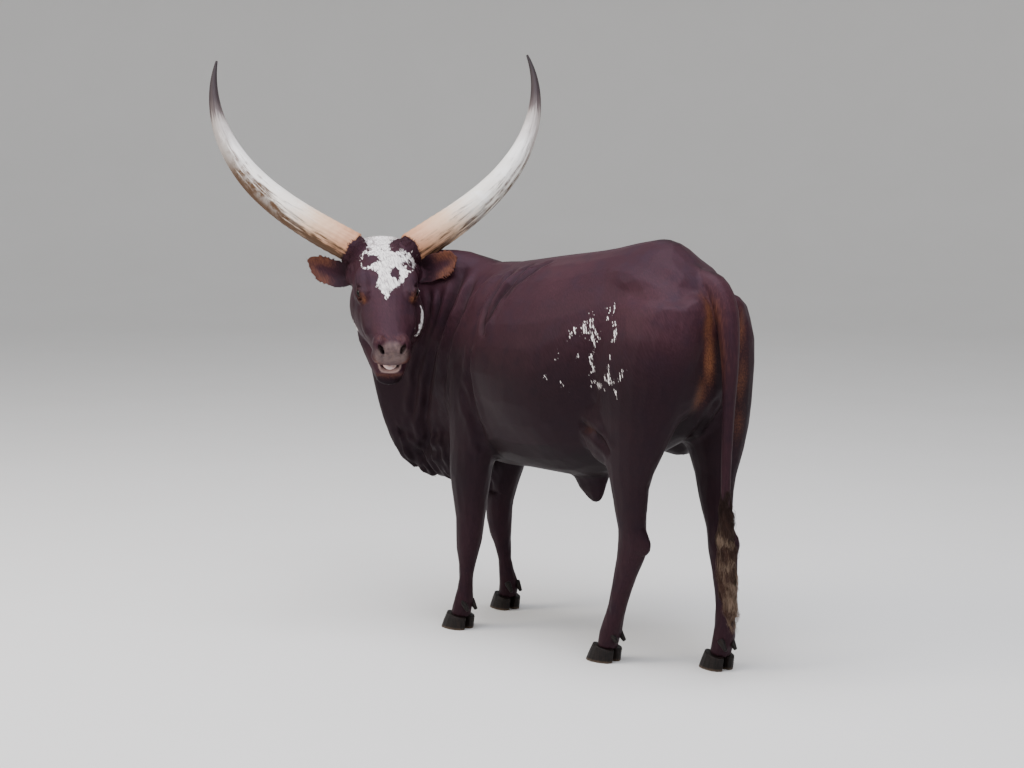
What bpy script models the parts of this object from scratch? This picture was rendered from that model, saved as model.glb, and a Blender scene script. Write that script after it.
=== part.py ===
"""A life-size Ankole-Watusi steer, standing, with its head turned back over its left side.

Metres. The animal is laid out in a stance frame: +X towards the chest, +Y to its left, +Z up,
hooves on Z = 0. At the end everything moves so that the origin is the middle of its footprint box.
"""

import math
import random

import bmesh
import bpy
from mathutils import Matrix, Vector

# Gaps and fineness of the solids
GAP = 0.0003
BODY_VOXEL = 0.012
HEAD_VOXEL = 0.0055
BODY_TRIANGLES = 4150
HEAD_TRIANGLES = 2600
RING_SIDES = 28

# Trunk: x, height of the back, height of the belly, half width, share of height where it is widest,
# roundness above, roundness below
TRUNK = (
    (-0.600, 1.240, 0.930, 0.055, 0.50, 2.0, 2.0),
    (-0.560, 1.292, 0.860, 0.108, 0.55, 2.0, 2.0),
    (-0.480, 1.352, 0.790, 0.160, 0.60, 1.8, 2.0),
    (-0.390, 1.415, 0.735, 0.198, 0.62, 1.6, 2.0),
    (-0.280, 1.411, 0.680, 0.232, 0.58, 1.7, 2.0),
    (-0.160, 1.386, 0.630, 0.272, 0.52, 1.9, 2.1),
    (-0.040, 1.368, 0.598, 0.300, 0.48, 2.0, 2.2),
    (0.090, 1.352, 0.595, 0.308, 0.47, 2.0, 2.2),
    (0.220, 1.335, 0.597, 0.292, 0.48, 2.0, 2.2),
    (0.340, 1.320, 0.590, 0.258, 0.50, 1.8, 2.1),
    (0.450, 1.313, 0.593, 0.218, 0.50, 1.7, 2.0),
    (0.560, 1.250, 0.612, 0.165, 0.48, 1.9, 2.0),
    (0.640, 1.120, 0.680, 0.095, 0.48, 2.0, 2.0),
)

# Neck: crest point, dewlap point, half width, share of height where it is widest,
# heading of the section in degrees to the left
NECK = (
    ((0.400, 0.000, 1.300), (0.450, 0.010, 0.600), 0.218, 0.55, 0),
    ((0.520, 0.005, 1.326), (0.640, 0.040, 0.530), 0.178, 0.58, 10),
    ((0.620, 0.040, 1.352), (0.762, 0.098, 0.512), 0.140, 0.62, 27),
    ((0.705, 0.100, 1.354), (0.832, 0.172, 0.580), 0.114, 0.62, 47),
    ((0.775, 0.170, 1.350), (0.862, 0.232, 0.735), 0.100, 0.58, 70),
    ((0.818, 0.225, 1.350), (0.850, 0.278, 0.925), 0.092, 0.54, 100),
    ((0.820, 0.262, 1.346), (0.803, 0.305, 1.075), 0.088, 0.52, 130),
)

# Legs: height, x, y, half depth fore and aft, half width. The feet are set as in mid stride.
FORELEG_SIZES = (
    (0.95, 0.135, 0.062),
    (0.80, 0.120, 0.072),
    (0.68, 0.096, 0.068),
    (0.58, 0.088, 0.066),
    (0.48, 0.071, 0.056),
    (0.40, 0.058, 0.049),
    (0.34, 0.052, 0.047),
    (0.29, 0.045, 0.042),
    (0.24, 0.034, 0.033),
    (0.18, 0.029, 0.028),
    (0.13, 0.033, 0.034),
    (0.10, 0.038, 0.041),
    (0.07, 0.036, 0.040),
    (0.03, 0.040, 0.042),
)
FORE_LEFT_LINE = (
    (0.370, 0.178), (0.385, 0.186), (0.402, 0.184), (0.416, 0.181), (0.425, 0.175),
    (0.431, 0.170), (0.438, 0.169), (0.444, 0.170), (0.448, 0.171), (0.454, 0.172),
    (0.460, 0.174), (0.463, 0.175), (0.474, 0.176), (0.484, 0.176),
)
FORE_RIGHT_LINE = (
    (0.440, -0.160), (0.483, -0.162), (0.535, -0.150), (0.576, -0.137), (0.602, -0.132),
    (0.615, -0.131), (0.618, -0.135), (0.617, -0.138), (0.611, -0.145), (0.603, -0.150),
    (0.595, -0.153), (0.589, -0.158), (0.598, -0.160), (0.606, -0.161),
)
HINDLEG_SIZES = (
    (1.22, 0.180, 0.100),
    (1.10, 0.205, 0.118),
    (0.95, 0.184, 0.110),
    (0.82, 0.148, 0.089),
    (0.72, 0.111, 0.068),
    (0.63, 0.081, 0.050),
    (0.56, 0.070, 0.045),
    (0.50, 0.061, 0.041),
    (0.46, 0.057, 0.040),
    (0.41, 0.056, 0.041),
    (0.36, 0.052, 0.040),
    (0.32, 0.047, 0.038),
    (0.26, 0.040, 0.036),
    (0.20, 0.036, 0.034),
    (0.14, 0.038, 0.037),
    (0.11, 0.041, 0.042),
    (0.07, 0.036, 0.040),
    (0.03, 0.040, 0.042),
)
HIND_LEFT_LINE = (
    (-0.415, 0.108), (-0.408, 0.131), (-0.399, 0.150), (-0.390, 0.163), (-0.376, 0.170),
    (-0.359, 0.167), (-0.352, 0.155), (-0.343, 0.145), (-0.338, 0.140), (-0.334, 0.135),
    (-0.322, 0.130), (-0.306, 0.127), (-0.284, 0.125), (-0.262, 0.122), (-0.238, 0.119),
    (-0.228, 0.117), (-0.214, 0.117), (-0.204, 0.117),
)
HIND_RIGHT_LINE = (
    (-0.415, -0.100), (-0.410, -0.119), (-0.417, -0.132), (-0.439, -0.136), (-0.458, -0.133),
    (-0.467, -0.126), (-0.477, -0.117), (-0.491, -0.110), (-0.504, -0.107), (-0.514, -0.101),
    (-0.527, -0.098), (-0.536, -0.096), (-0.545, -0.095), (-0.549, -0.093), (-0.549, -0.092),
    (-0.548, -0.090), (-0.537, -0.089), (-0.528, -0.088),
)

# Muscle and bone masses that shape the trunk: centre, radii, turn about Y in degrees, mirrored
BODY_MASSES = (
    ((-0.335, 0.124, 1.274), (0.125, 0.058, 0.056), -10, True),  # hook of the hip
    ((-0.462, 0.050, 1.300), (0.100, 0.060, 0.042), -30, True),  # rump beside the tail head
    ((-0.440, 0.100, 1.190), (0.150, 0.085, 0.105), -30, True),  # rump between hook and pin
    ((-0.558, 0.088, 1.180), (0.055, 0.048, 0.070), -10, True),  # pin of the buttock
    ((-0.486, 0.106, 1.020), (0.110, 0.093, 0.190), 0, True),    # back of the thigh
    ((-0.275, 0.160, 0.800), (0.105, 0.080, 0.130), -18, True),  # stifle
    ((0.375, 0.125, 1.060), (0.110, 0.088, 0.220), -14, True),   # shoulder blade
    ((0.520, 0.115, 0.860), (0.105, 0.085, 0.125), 0, True),     # point of the shoulder
    ((0.650, 0.045, 0.630), (0.140, 0.105, 0.126), 0, False),    # breast
    ((-0.010, 0.000, 0.600), (0.080, 0.034, 0.080), -12, False),  # sheath
    ((-0.028, 0.000, 0.541), (0.046, 0.026, 0.042), -8, False),  # end of the sheath
)
HOCK_POINT = ((-0.056, 0.0, 0.425), (0.032, 0.022, 0.042))

# Feet: x and y under the middle of each foot, heading in degrees
FEET = {
    "fore_left": ((0.500, 0.176), 4.0),
    "fore_right": ((0.622, -0.161), -6.0),
    "hind_left": ((-0.188, 0.117), 6.0),
    "hind_right": ((-0.512, -0.088), -8.0),
}
CLAW_LENGTH = 0.112
CLAW_WIDTH = 0.047
CLEFT = 0.005
CORONET_TOE = 0.072
CORONET_HEEL = 0.046
DEWCLAW_HEIGHT = 0.094
DEWCLAW_BACK = 0.036

# The sleeve that parts each leg from the body: node, x and y of its axis at the top, radii, height
LEG_SLEEVES = {
    "fore_left": ("foreleg_left", (0.400, 0.205, 0.0), (0.125, 0.115), 0.72),
    "fore_right": ("foreleg_right", (0.560, -0.182, 0.0), (0.125, 0.115), 0.72),
    "hind_left": ("hindleg_left", (-0.375, 0.215, 0.0), (0.185, 0.150), 0.88),
    "hind_right": ("hindleg_right", (-0.425, -0.215, 0.0), (0.185, 0.150), 0.88),
}

# Head: the poll is its origin, the face line its X, and its Z stands on the forehead
POLL = Vector((0.762, 0.293, 1.398))
FACING = 146.5
FACE_SLOPE = 45.0
# distance from the poll, half width, top, bottom, share of height where it is widest,
# roundness above, roundness below
FACE = (
    (-0.060, 0.084, -0.052, -0.200, 0.55, 2.2, 2.0),
    (-0.020, 0.106, -0.028, -0.225, 0.58, 2.4, 2.2),
    (0.020, 0.114, -0.010, -0.240, 0.60, 2.7, 2.3),
    (0.085, 0.113, 0.001, -0.250, 0.58, 2.8, 2.4),
    (0.155, 0.113, 0.004, -0.255, 0.52, 2.6, 2.4),
    (0.220, 0.115, 0.000, -0.250, 0.50, 2.4, 2.4),
    (0.275, 0.112, -0.005, -0.232, 0.48, 2.2, 2.3),
    (0.330, 0.101, -0.009, -0.200, 0.48, 2.1, 2.2),
    (0.385, 0.082, -0.013, -0.162, 0.50, 2.2, 2.2),
    (0.440, 0.065, -0.016, -0.134, 0.50, 2.4, 2.4),
    (0.480, 0.060, -0.020, -0.122, 0.48, 2.6, 2.6),
    (0.505, 0.048, -0.036, -0.112, 0.46, 2.4, 2.4),
)
JAW = (
    (0.060, 0.088, -0.120, -0.246, 0.50, 2.2, 2.2),
    (0.170, 0.103, -0.110, -0.262, 0.50, 2.2, 2.2),
    (0.255, 0.109, -0.112, -0.260, 0.50, 2.2, 2.2),
    (0.330, 0.099, -0.118, -0.250, 0.50, 2.2, 2.2),
    (0.390, 0.080, -0.128, -0.242, 0.50, 2.2, 2.2),
    (0.445, 0.062, -0.138, -0.238, 0.52, 2.3, 2.2),
    (0.484, 0.047, -0.150, -0.226, 0.52, 2.2, 2.2),
)
# centre along the face, out to the side and up from the face line; radii the same way; mirrored
HEAD_MASSES = (
    ((0.004, 0.000, -0.043), (0.036, 0.096, 0.030), False),  # poll between the horns
    ((0.016, 0.100, -0.054), (0.056, 0.056, 0.056), True),   # boss under each horn
    ((0.088, 0.102, -0.100), (0.044, 0.034, 0.044), True),   # root of the ear
    ((0.184, 0.080, -0.022), (0.062, 0.032, 0.022), True),   # brow
    ((0.202, 0.086, -0.062), (0.052, 0.030, 0.040), True),   # cheekbone behind the eye
    ((0.239, 0.077, -0.040), (0.042, 0.034, 0.034), True),   # rim of the orbit
    ((0.312, 0.069, -0.070), (0.096, 0.030, 0.034), True),   # cheek ridge
    ((0.200, 0.082, -0.145), (0.100, 0.044, 0.085), True),   # chewing muscle
    ((0.252, 0.091, -0.142), (0.112, 0.045, 0.078), False),  # left cheek, full of cud
    ((0.460, 0.040, -0.046), (0.038, 0.026, 0.036), True),   # wing of the nostril
    ((0.468, 0.030, -0.096), (0.038, 0.036, 0.026), True),   # upper lip
    ((0.466, 0.000, -0.214), (0.040, 0.050, 0.032), False),  # lower lip and chin
)
EYE = Vector((0.239, 0.0910, -0.031))
EYE_RADIUS = 0.0185
GAZE = Vector((0.36, 0.74, 0.56))
LID_OPENING = (0.0185, 0.0110)
LID_RADIUS = 0.0030
NOSTRIL = Vector((0.4900, 0.0360, -0.037))
NOSTRIL_SIZES = (0.018, 0.0085, 0.0200)
MOUTH = Vector((0.470, 0.0, -0.116))
MOUTH_SIZES = (0.080, 0.052, 0.036)
TONGUE = Vector((0.446, 0.0, -0.150))
TONGUE_SIZES = (0.044, 0.030, 0.015)

# Horns: a lyre that leaves the poll low and outwards, then turns up. The two differ a little.
HORN_OUT = 0.104
HORN_AHEAD = -0.034
# side: height of the root over the poll, length, radius at the root, fullness,
# rise at the root, further rise and its lateness, sweep at the root, further sweep
HORNS = {
    1: (-0.0466, 1.030, 0.0599, 1.86, 30.1, 82.7, 2.17, 15.9, 11.4),
    -1: (-0.0412, 0.9965, 0.0568, 2.19, 27.8, 76.8, 1.83, 13.5, 18.4),
}

# Ears: root, length and width. For each side: how far it points up and back, its bend up towards
# the tip, and how low its root lies.
EAR_ROOT = Vector((0.086, 0.116, -0.092))
EAR_LENGTH = 0.200
EAR_WIDTH = 0.114
EAR_THICKNESS = 0.0055
EAR_STANCE = {
    1: (0.24, -0.55, 0.018, 0.002),
    -1: (0.00, 0.40, 0.054, 0.013),
}

# Tail: x, y, height and radius down to the switch
TAIL = (
    (-0.500, 0.000, 1.285, 0.046),
    (-0.570, 0.000, 1.268, 0.044),
    (-0.618, 0.004, 1.210, 0.040),
    (-0.642, 0.010, 1.120, 0.034),
    (-0.652, 0.015, 1.000, 0.026),
    (-0.650, 0.018, 0.860, 0.0190),
    (-0.646, 0.020, 0.700, 0.0160),
    (-0.645, 0.020, 0.560, 0.0145),
)
SWITCH = (
    (-0.645, 0.020, 0.560, 0.0145),
    (-0.648, 0.020, 0.460, 0.0220),
    (-0.655, 0.018, 0.350, 0.0255),
    (-0.667, 0.014, 0.240, 0.0205),
    (-0.678, 0.010, 0.155, 0.0060),
)
LOCKS = 16

COAT = (0.060, 0.026, 0.024)
MUZZLE = (0.180, 0.140, 0.140)
HORN = (0.620, 0.540, 0.420)
HOOF = (0.030, 0.024, 0.024)
EYE_COLOUR = (0.012, 0.007, 0.006)
TONGUE_COLOUR = (0.560, 0.330, 0.310)
SWITCH_COLOUR = (0.180, 0.100, 0.055)


# Small helpers

def material(name, colour, roughness):
    made = bpy.data.materials.new(name)
    made.use_nodes = True
    shader = made.node_tree.nodes["Principled BSDF"]
    shader.inputs["Base Color"].default_value = (*colour, 1.0)
    shader.inputs["Roughness"].default_value = roughness
    return made


def scene_object(name, mesh):
    made = bpy.data.objects.new(name, mesh)
    bpy.context.scene.collection.objects.link(made)
    return made


def mesh_object(name, bm):
    """An object from a bmesh, in triangles, with its faces turned outwards."""
    bmesh.ops.triangulate(bm, faces=bm.faces)
    bmesh.ops.recalc_face_normals(bm, faces=bm.faces)
    mesh = bpy.data.meshes.new(name)
    bm.to_mesh(mesh)
    bm.free()
    return scene_object(name, mesh)


def discard(*objects):
    for thing in objects:
        bpy.data.objects.remove(thing)


def signed_power(value, exponent):
    return math.copysign(abs(value) ** exponent, value)


def eased(rows, share):
    """The row at a share of the way along a table, on a smooth curve through its rows."""
    place = share * (len(rows) - 1)
    first = min(int(place), len(rows) - 2)
    t = place - first
    a = rows[max(first - 1, 0)]
    b = rows[first]
    c = rows[first + 1]
    d = rows[min(first + 2, len(rows) - 1)]
    return [
        0.5 * (2 * q + (r - p) * t + (2 * p - 5 * q + 4 * r - s) * t * t
               + (3 * q - p - 3 * r + s) * t ** 3)
        for p, q, r, s in zip(a, b, c, d)
    ]


def ring(top, bottom, side, half_width, widest, above, below, sides):
    """A closed outline from its top and bottom points, widest at a share of its height."""
    waist = bottom.lerp(top, widest)
    points = []
    for i in range(sides):
        turn = 2 * math.pi * i / sides
        power = 2 / (above if math.sin(turn) >= 0 else below)
        out = side * (half_width * signed_power(math.cos(turn), power))
        reach = abs(math.sin(turn)) ** power
        end = top if math.sin(turn) >= 0 else bottom
        points.append(waist + out + (end - waist) * reach)
    return points


def loft(name, rings):
    """A closed skin over a row of outlines, with flat ends."""
    bm = bmesh.new()
    rows = [[bm.verts.new(p) for p in points] for points in rings]
    sides = len(rows[0])
    for near, far in zip(rows, rows[1:]):
        for i in range(sides):
            j = (i + 1) % sides
            bm.faces.new((near[i], near[j], far[j], far[i]))
    bm.faces.new(list(reversed(rows[0])))
    bm.faces.new(rows[-1])
    return mesh_object(name, bm)


def tube(name, points, radii, sides):
    """A round tube along points, each ring square to the way."""
    rings = []
    side = None
    for i, point in enumerate(points):
        way = points[min(i + 1, len(points) - 1)] - points[max(i - 1, 0)]
        way.normalize()
        side = way.orthogonal() if side is None else side
        side = (side - way * side.dot(way)).normalized()
        up = way.cross(side)
        rings.append([
            point + (side * math.cos(t) + up * math.sin(t)) * radii[i]
            for t in (2 * math.pi * k / sides for k in range(sides))
        ])
    return loft(name, rings)


def ball(name, centre, radii, turn=None, fineness=(20, 12)):
    """An ellipsoid. turn is a matrix for its axes."""
    bm = bmesh.new()
    bmesh.ops.create_uvsphere(bm, u_segments=fineness[0], v_segments=fineness[1], radius=1.0)
    shape = Matrix.Diagonal((*radii, 1.0))
    place = Matrix.Translation(centre) @ (turn or Matrix.Identity(4)) @ shape
    bm.transform(place)
    return mesh_object(name, bm)


def applied(thing):
    """Bakes an object's modifiers into its mesh."""
    bpy.context.view_layer.update()
    graph = bpy.context.evaluated_depsgraph_get()
    mesh = bpy.data.meshes.new_from_object(thing.evaluated_get(graph))
    thing.modifiers.clear()
    thing.data = mesh
    return thing


def joined(name, pieces):
    """One object holding the separate shells of all the pieces."""
    bm = bmesh.new()
    for piece in pieces:
        bm.from_mesh(piece.data)
    discard(*pieces)
    mesh = bpy.data.meshes.new(name)
    bm.to_mesh(mesh)
    bm.free()
    return scene_object(name, mesh)


def fused(name, pieces, voxel, passes, triangles):
    """Overlapping masses made one smooth flesh, then thinned to a number of triangles."""
    flesh = joined(name, pieces)
    remesh = flesh.modifiers.new("fuse", "REMESH")
    remesh.mode = "VOXEL"
    remesh.voxel_size = voxel
    smooth = flesh.modifiers.new("soften", "SMOOTH")
    smooth.factor = 0.5
    smooth.iterations = passes
    applied(flesh)
    flesh.modifiers.new("triangles", "TRIANGULATE")
    applied(flesh)
    thin = flesh.modifiers.new("thin", "DECIMATE")
    thin.ratio = triangles / len(flesh.data.polygons)
    return applied(flesh)


def boolean(thing, other, operation, keep_other=False):
    cut = thing.modifiers.new(operation.lower(), "BOOLEAN")
    cut.operation = operation
    cut.object = other
    cut.solver = "EXACT"
    thing.modifiers.new("triangles", "TRIANGULATE")
    applied(thing)
    if not keep_other:
        discard(other)
    return thing


def united(thing, pieces):
    """Joins pieces to a node with one Boolean union on a collection."""
    group = bpy.data.collections.new("roots")
    bpy.context.scene.collection.children.link(group)
    for piece in pieces:
        bpy.context.scene.collection.objects.unlink(piece)
        group.objects.link(piece)
    join = thing.modifiers.new("union", "BOOLEAN")
    join.operation = "UNION"
    join.operand_type = "COLLECTION"
    join.collection = group
    join.solver = "EXACT"
    thing.modifiers.new("triangles", "TRIANGULATE")
    applied(thing)
    discard(*pieces)
    bpy.data.collections.remove(group)
    return thing


def largest_shell(thing):
    """Drops every loose scrap but the biggest closed surface."""
    bm = bmesh.new()
    bm.from_mesh(thing.data)
    bm.verts.ensure_lookup_table()
    left = set(bm.verts)
    shells = []
    while left:
        todo = [left.pop()]
        shell = set(todo)
        while todo:
            for edge in todo.pop().link_edges:
                for vert in edge.verts:
                    if vert in left:
                        left.remove(vert)
                        shell.add(vert)
                        todo.append(vert)
        shells.append(shell)
    keep = max(shells, key=len)
    bmesh.ops.delete(bm, geom=[v for v in bm.verts if v not in keep], context="VERTS")
    bm.to_mesh(thing.data)
    bm.free()
    return thing


def copy_of(thing, name):
    return scene_object(name, thing.data.copy())


def grown(thing, by):
    """A copy pushed out along its normals, for a clear gap round it."""
    bigger = copy_of(thing, thing.name + "_grown")
    push = bigger.modifiers.new("grow", "DISPLACE")
    push.strength = by
    push.mid_level = 0.0
    return applied(bigger)


# The flesh of the body

def trunk():
    rings = []
    steps = 3 * (len(TRUNK) - 1)
    for i in range(steps + 1):
        x, back, belly, half, widest, above, below = eased(TRUNK, i / steps)
        rings.append(ring(Vector((x, 0, back)), Vector((x, 0, belly)), Vector((0, 1, 0)),
                          half, widest, above, below, RING_SIDES))
    return loft("trunk", rings)


def neck_flesh(name):
    """The neck bends to the left, deep and narrow, down to the thin edge of the dewlap."""
    rows = [(*crest, *lap, half, widest, heading) for crest, lap, half, widest, heading in NECK]
    rings = []
    steps = 4 * (len(rows) - 1)
    for i in range(steps + 1):
        row = eased(rows, i / steps)
        heading = math.radians(row[8])
        side = Vector((-math.sin(heading), math.cos(heading), 0))
        rings.append(ring(Vector(row[0:3]), Vector(row[3:6]), side, row[6], row[7],
                          1.8, 1.35, RING_SIDES))
    return loft(name, rings)


def leg_flesh(name, sizes, line):
    rows = [(x, y, height, deep, wide) for (height, deep, wide), (x, y) in zip(sizes, line)]
    rings = []
    steps = 2 * (len(rows) - 1)
    for i in range(steps + 1):
        x, y, height, deep, wide = eased(rows, i / steps)
        centre = Vector((x, y, height))
        rings.append([
            centre + Vector((deep * math.cos(t), wide * math.sin(t), 0))
            for t in (2 * math.pi * k / 20 for k in range(20))
        ])
    return loft(name, rings)


def body_flesh():
    pieces = [
        trunk(),
        neck_flesh("neck_masses"),
        leg_flesh("fore_left", FORELEG_SIZES, FORE_LEFT_LINE),
        leg_flesh("fore_right", FORELEG_SIZES, FORE_RIGHT_LINE),
        leg_flesh("hind_left", HINDLEG_SIZES, HIND_LEFT_LINE),
        leg_flesh("hind_right", HINDLEG_SIZES, HIND_RIGHT_LINE),
    ]
    for centre, radii, turn, mirrored in BODY_MASSES:
        for way in ((1, -1) if mirrored else (1,)):
            spot = Vector((centre[0], centre[1] * way, centre[2]))
            pieces.append(ball("mass", spot, radii, Matrix.Rotation(math.radians(turn), 4, "Y")))
    for line in (HIND_LEFT_LINE, HIND_RIGHT_LINE):
        offset, radii = HOCK_POINT
        x, y = line[9]
        pieces.append(ball("hock", Vector((x + offset[0], y, offset[2])), radii))
    pieces.append(tail_stub())
    return fused("body_flesh", pieces, BODY_VOXEL, 16, BODY_TRIANGLES)


def tail_stub():
    """The thick start of the tail, which the rump grows into."""
    points = [Vector(row[:3]) for row in TAIL[:2]]
    return tube("tail_start", points, [row[3] for row in TAIL[:2]], 14)


# The head

def head_axes():
    """The head's own axes in the stance frame."""
    heading = math.radians(FACING)
    slope = math.radians(FACE_SLOPE)
    level = Vector((math.cos(heading), math.sin(heading), 0))
    left = Vector((-math.sin(heading), math.cos(heading), 0))
    along = level * math.cos(slope) - Vector((0, 0, math.sin(slope)))
    up = level * math.sin(slope) + Vector((0, 0, math.cos(slope)))
    return along, left, up, level


def head_matrix():
    along, left, up, _ = head_axes()
    turn = Matrix((along, left, up)).transposed().to_4x4()
    return Matrix.Translation(POLL) @ turn


def head_loft(name, table, steps_each):
    rings = []
    steps = steps_each * (len(table) - 1)
    for i in range(steps + 1):
        d, half, top, bottom, widest, above, below = eased(table, i / steps)
        rings.append(ring(Vector((d, 0, top)), Vector((d, 0, bottom)), Vector((0, 1, 0)),
                          half, widest, above, below, 32))
    made = loft(name, rings)
    made.data.transform(head_matrix())
    return made


def head_ball(name, centre, radii, way=1, turn=None, fineness=(20, 12)):
    spot = Vector((centre[0], centre[1] * way, centre[2]))
    made = ball(name, spot, radii, turn, fineness)
    made.data.transform(head_matrix())
    return made


def head_flesh():
    pieces = [head_loft("face", FACE, 3), head_loft("jaw", JAW, 3), neck_flesh("nape")]
    for centre, radii, mirrored in HEAD_MASSES:
        for way in ((1, -1) if mirrored else (1,)):
            pieces.append(head_ball("mass", centre, radii, way))
    region = copy_of_region()
    pieces = [trimmed(piece, region) for piece in pieces]
    discard(region)
    return fused("head_flesh", pieces, HEAD_VOXEL, 4, HEAD_TRIANGLES)


def copy_of_region():
    """A block round the head and the top of the neck, so that the rest isn't meshed finely."""
    bm = bmesh.new()
    bmesh.ops.create_cube(bm, size=1.0)
    bm.transform(Matrix.Diagonal((0.78, 0.50, 0.60, 1.0)))
    bm.transform(Matrix.Translation((0.24, -0.05, -0.10)))
    bm.transform(head_matrix())
    return mesh_object("head_region", bm)


def trimmed(piece, region):
    """A piece cut to the head's block, where it is the neck that sticks out of it."""
    if piece.name.startswith("nape"):
        boolean(piece, region, "INTERSECT", keep_other=True)
    return piece


def eye_turn(way):
    """Axes of the eye: X along the lids, Z along the gaze."""
    gaze = Vector((GAZE.x, GAZE.y * way, GAZE.z)).normalized()
    lids = (Vector((1.0, 0.10 * way, -0.10)) - gaze * gaze.x).normalized()
    lids = (lids - gaze * lids.dot(gaze)).normalized()
    return Matrix((lids, gaze.cross(lids), gaze)).transposed().to_4x4()


def eye_ball(name, way, radius):
    centre = (EYE.x, EYE.y, EYE.z)
    return head_ball(name, centre, (radius,) * 3, way, eye_turn(way), (14, 10))


def lid_slit(way):
    """The almond opening between the lids."""
    turn = eye_turn(way)
    gaze = turn.col[2].to_3d()
    centre = Vector((EYE.x, EYE.y * way, EYE.z)) + gaze * 0.020
    made = ball("slit", centre, (LID_OPENING[0], LID_OPENING[1], 0.022), turn, (18, 10))
    made.data.transform(head_matrix())
    return made


def lid_rim(way):
    """The raised rim round the opening, from corner to corner and back."""
    turn = eye_turn(way)
    centre = Vector((EYE.x, EYE.y * way, EYE.z))
    points = []
    count = 18
    for i in range(count):
        t = 2 * math.pi * i / count
        across = Vector((math.cos(t) * (LID_OPENING[0] + 0.0022),
                         math.sin(t) * (LID_OPENING[1] + 0.0020), 0))
        height = math.sqrt(max((EYE_RADIUS + 0.0030) ** 2 - across.length_squared, 0.0))
        points.append(head_matrix() @ (centre + turn.to_3x3() @ Vector((across.x, across.y, height))))
    bm = bmesh.new()
    sides = 6
    rows = []
    for i, point in enumerate(points):
        way_on = (points[(i + 1) % count] - points[i - 1]).normalized()
        out = (point - head_matrix() @ centre).normalized()
        across = way_on.cross(out).normalized()
        rows.append([
            bm.verts.new(point + (out * math.sin(a) + across * math.cos(a)) * LID_RADIUS)
            for a in (2 * math.pi * k / sides for k in range(sides))
        ])
    for i in range(count):
        near = rows[i]
        far = rows[(i + 1) % count]
        for k in range(sides):
            m = (k + 1) % sides
            bm.faces.new((near[k], near[m], far[m], far[k]))
    return mesh_object("lid_rim", bm)


def nostril(way):
    """A slit that leans in towards the lip."""
    lean = Matrix.Rotation(math.radians(-33 * way), 4, "X")
    tip = Matrix.Rotation(math.radians(-18), 4, "Y")
    return head_ball("nostril", NOSTRIL, NOSTRIL_SIZES, way, lean @ tip, (14, 8))


def mouth_gap():
    """The open mouth: flat under the upper lip, bowed along the lower one."""
    bm = bmesh.new()
    bmesh.ops.create_uvsphere(bm, u_segments=22, v_segments=10, radius=1.0)
    cut = bmesh.ops.bisect_plane(bm, geom=bm.verts[:] + bm.edges[:] + bm.faces[:],
                                 plane_co=(0, 0, 0.02), plane_no=(0, 0, 1), clear_outer=True)
    rim = [e for e in cut["geom_cut"] if isinstance(e, bmesh.types.BMEdge)]
    bmesh.ops.edgeloop_fill(bm, edges=rim)
    bm.transform(Matrix.Diagonal((*MOUTH_SIZES, 1.0)))
    bm.transform(head_matrix() @ Matrix.Translation(MOUTH))
    return mesh_object("mouth_gap", bm)


def tongue(name, by=0.0):
    return head_ball(name, TONGUE, [size + by for size in TONGUE_SIZES], 1, None, (16, 8))


# Horns, ears, feet and tail

def horn_line(way, steps):
    """Points and radii along a horn. It rises slowly at first, then turns upright."""
    _, left, _, level = head_axes()
    height, length, thick, fullness, start_rise, more_rise, lateness, start_sweep, more_sweep = HORNS[way]
    outward = left * way
    up = Vector((0, 0, 1))
    point = POLL + outward * HORN_OUT + up * height + level * HORN_AHEAD
    points = []
    radii = []
    step = length / steps
    for i in range(steps + 1):
        t = i / steps
        ahead_t = t + 0.5 / steps
        rise = math.radians(start_rise + more_rise * ahead_t ** lateness)
        sweep = math.radians(start_sweep + more_sweep * math.sin(math.pi * min(ahead_t * 1.1, 1.0)))
        points.append(point.copy())
        radii.append(thick * (1 - 0.93 * t ** fullness))
        ahead = outward * math.cos(rise) + up * math.sin(rise)
        point = point + (ahead * math.cos(sweep) - level * math.sin(sweep)) * step
    return points, radii


def horn(name, way, more=0.0):
    points, radii = horn_line(way, 18)
    return tube(name, points, [radius + more for radius in radii], 12)


def ear(name, way):
    """A leaf-shaped cup, open to the front, thin at its edges."""
    _, left, _, level = head_axes()
    up = Vector((0, 0, 1))
    lift, back, bend, low = EAR_STANCE[way]
    ahead = (left * way * 0.86 + up * lift - level * back).normalized()
    open_to = (level - ahead * level.dot(ahead) + up * 0.25).normalized()
    across = ahead.cross(open_to).normalized()
    root = head_matrix() @ Vector((EAR_ROOT.x, EAR_ROOT.y * way, EAR_ROOT.z)) - up * low
    rings = []
    steps = 11
    arc = 6
    for i in range(steps + 1):
        t = i / steps
        half = 0.5 * EAR_WIDTH * (0.46 + 0.54 * math.sin(math.pi * min(t * 1.08, 1.0)) ** 0.9)
        half *= math.sqrt(max(1 - max(t - 0.62, 0) ** 2 / 0.1445, 0.035))
        cup = 0.030 * (1 - t) ** 0.8 + 0.006
        thick = EAR_THICKNESS * (1.6 - 0.9 * t)
        centre = root + ahead * (EAR_LENGTH * t - 0.02) + up * (bend * t * t)
        outline = []
        for k in range(arc + 1):
            s = -1 + 2 * k / arc
            outline.append(centre + across * (half * s) - open_to * (cup * (1 - s * s)))
        for k in range(arc - 1, 0, -1):
            s = -1 + 2 * k / arc
            depth = cup * (1 - s * s) - thick * (1 - s ** 4)
            outline.append(centre + across * (half * s * 0.97) - open_to * depth)
        rings.append(outline)
    return loft(name, rings)


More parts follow.
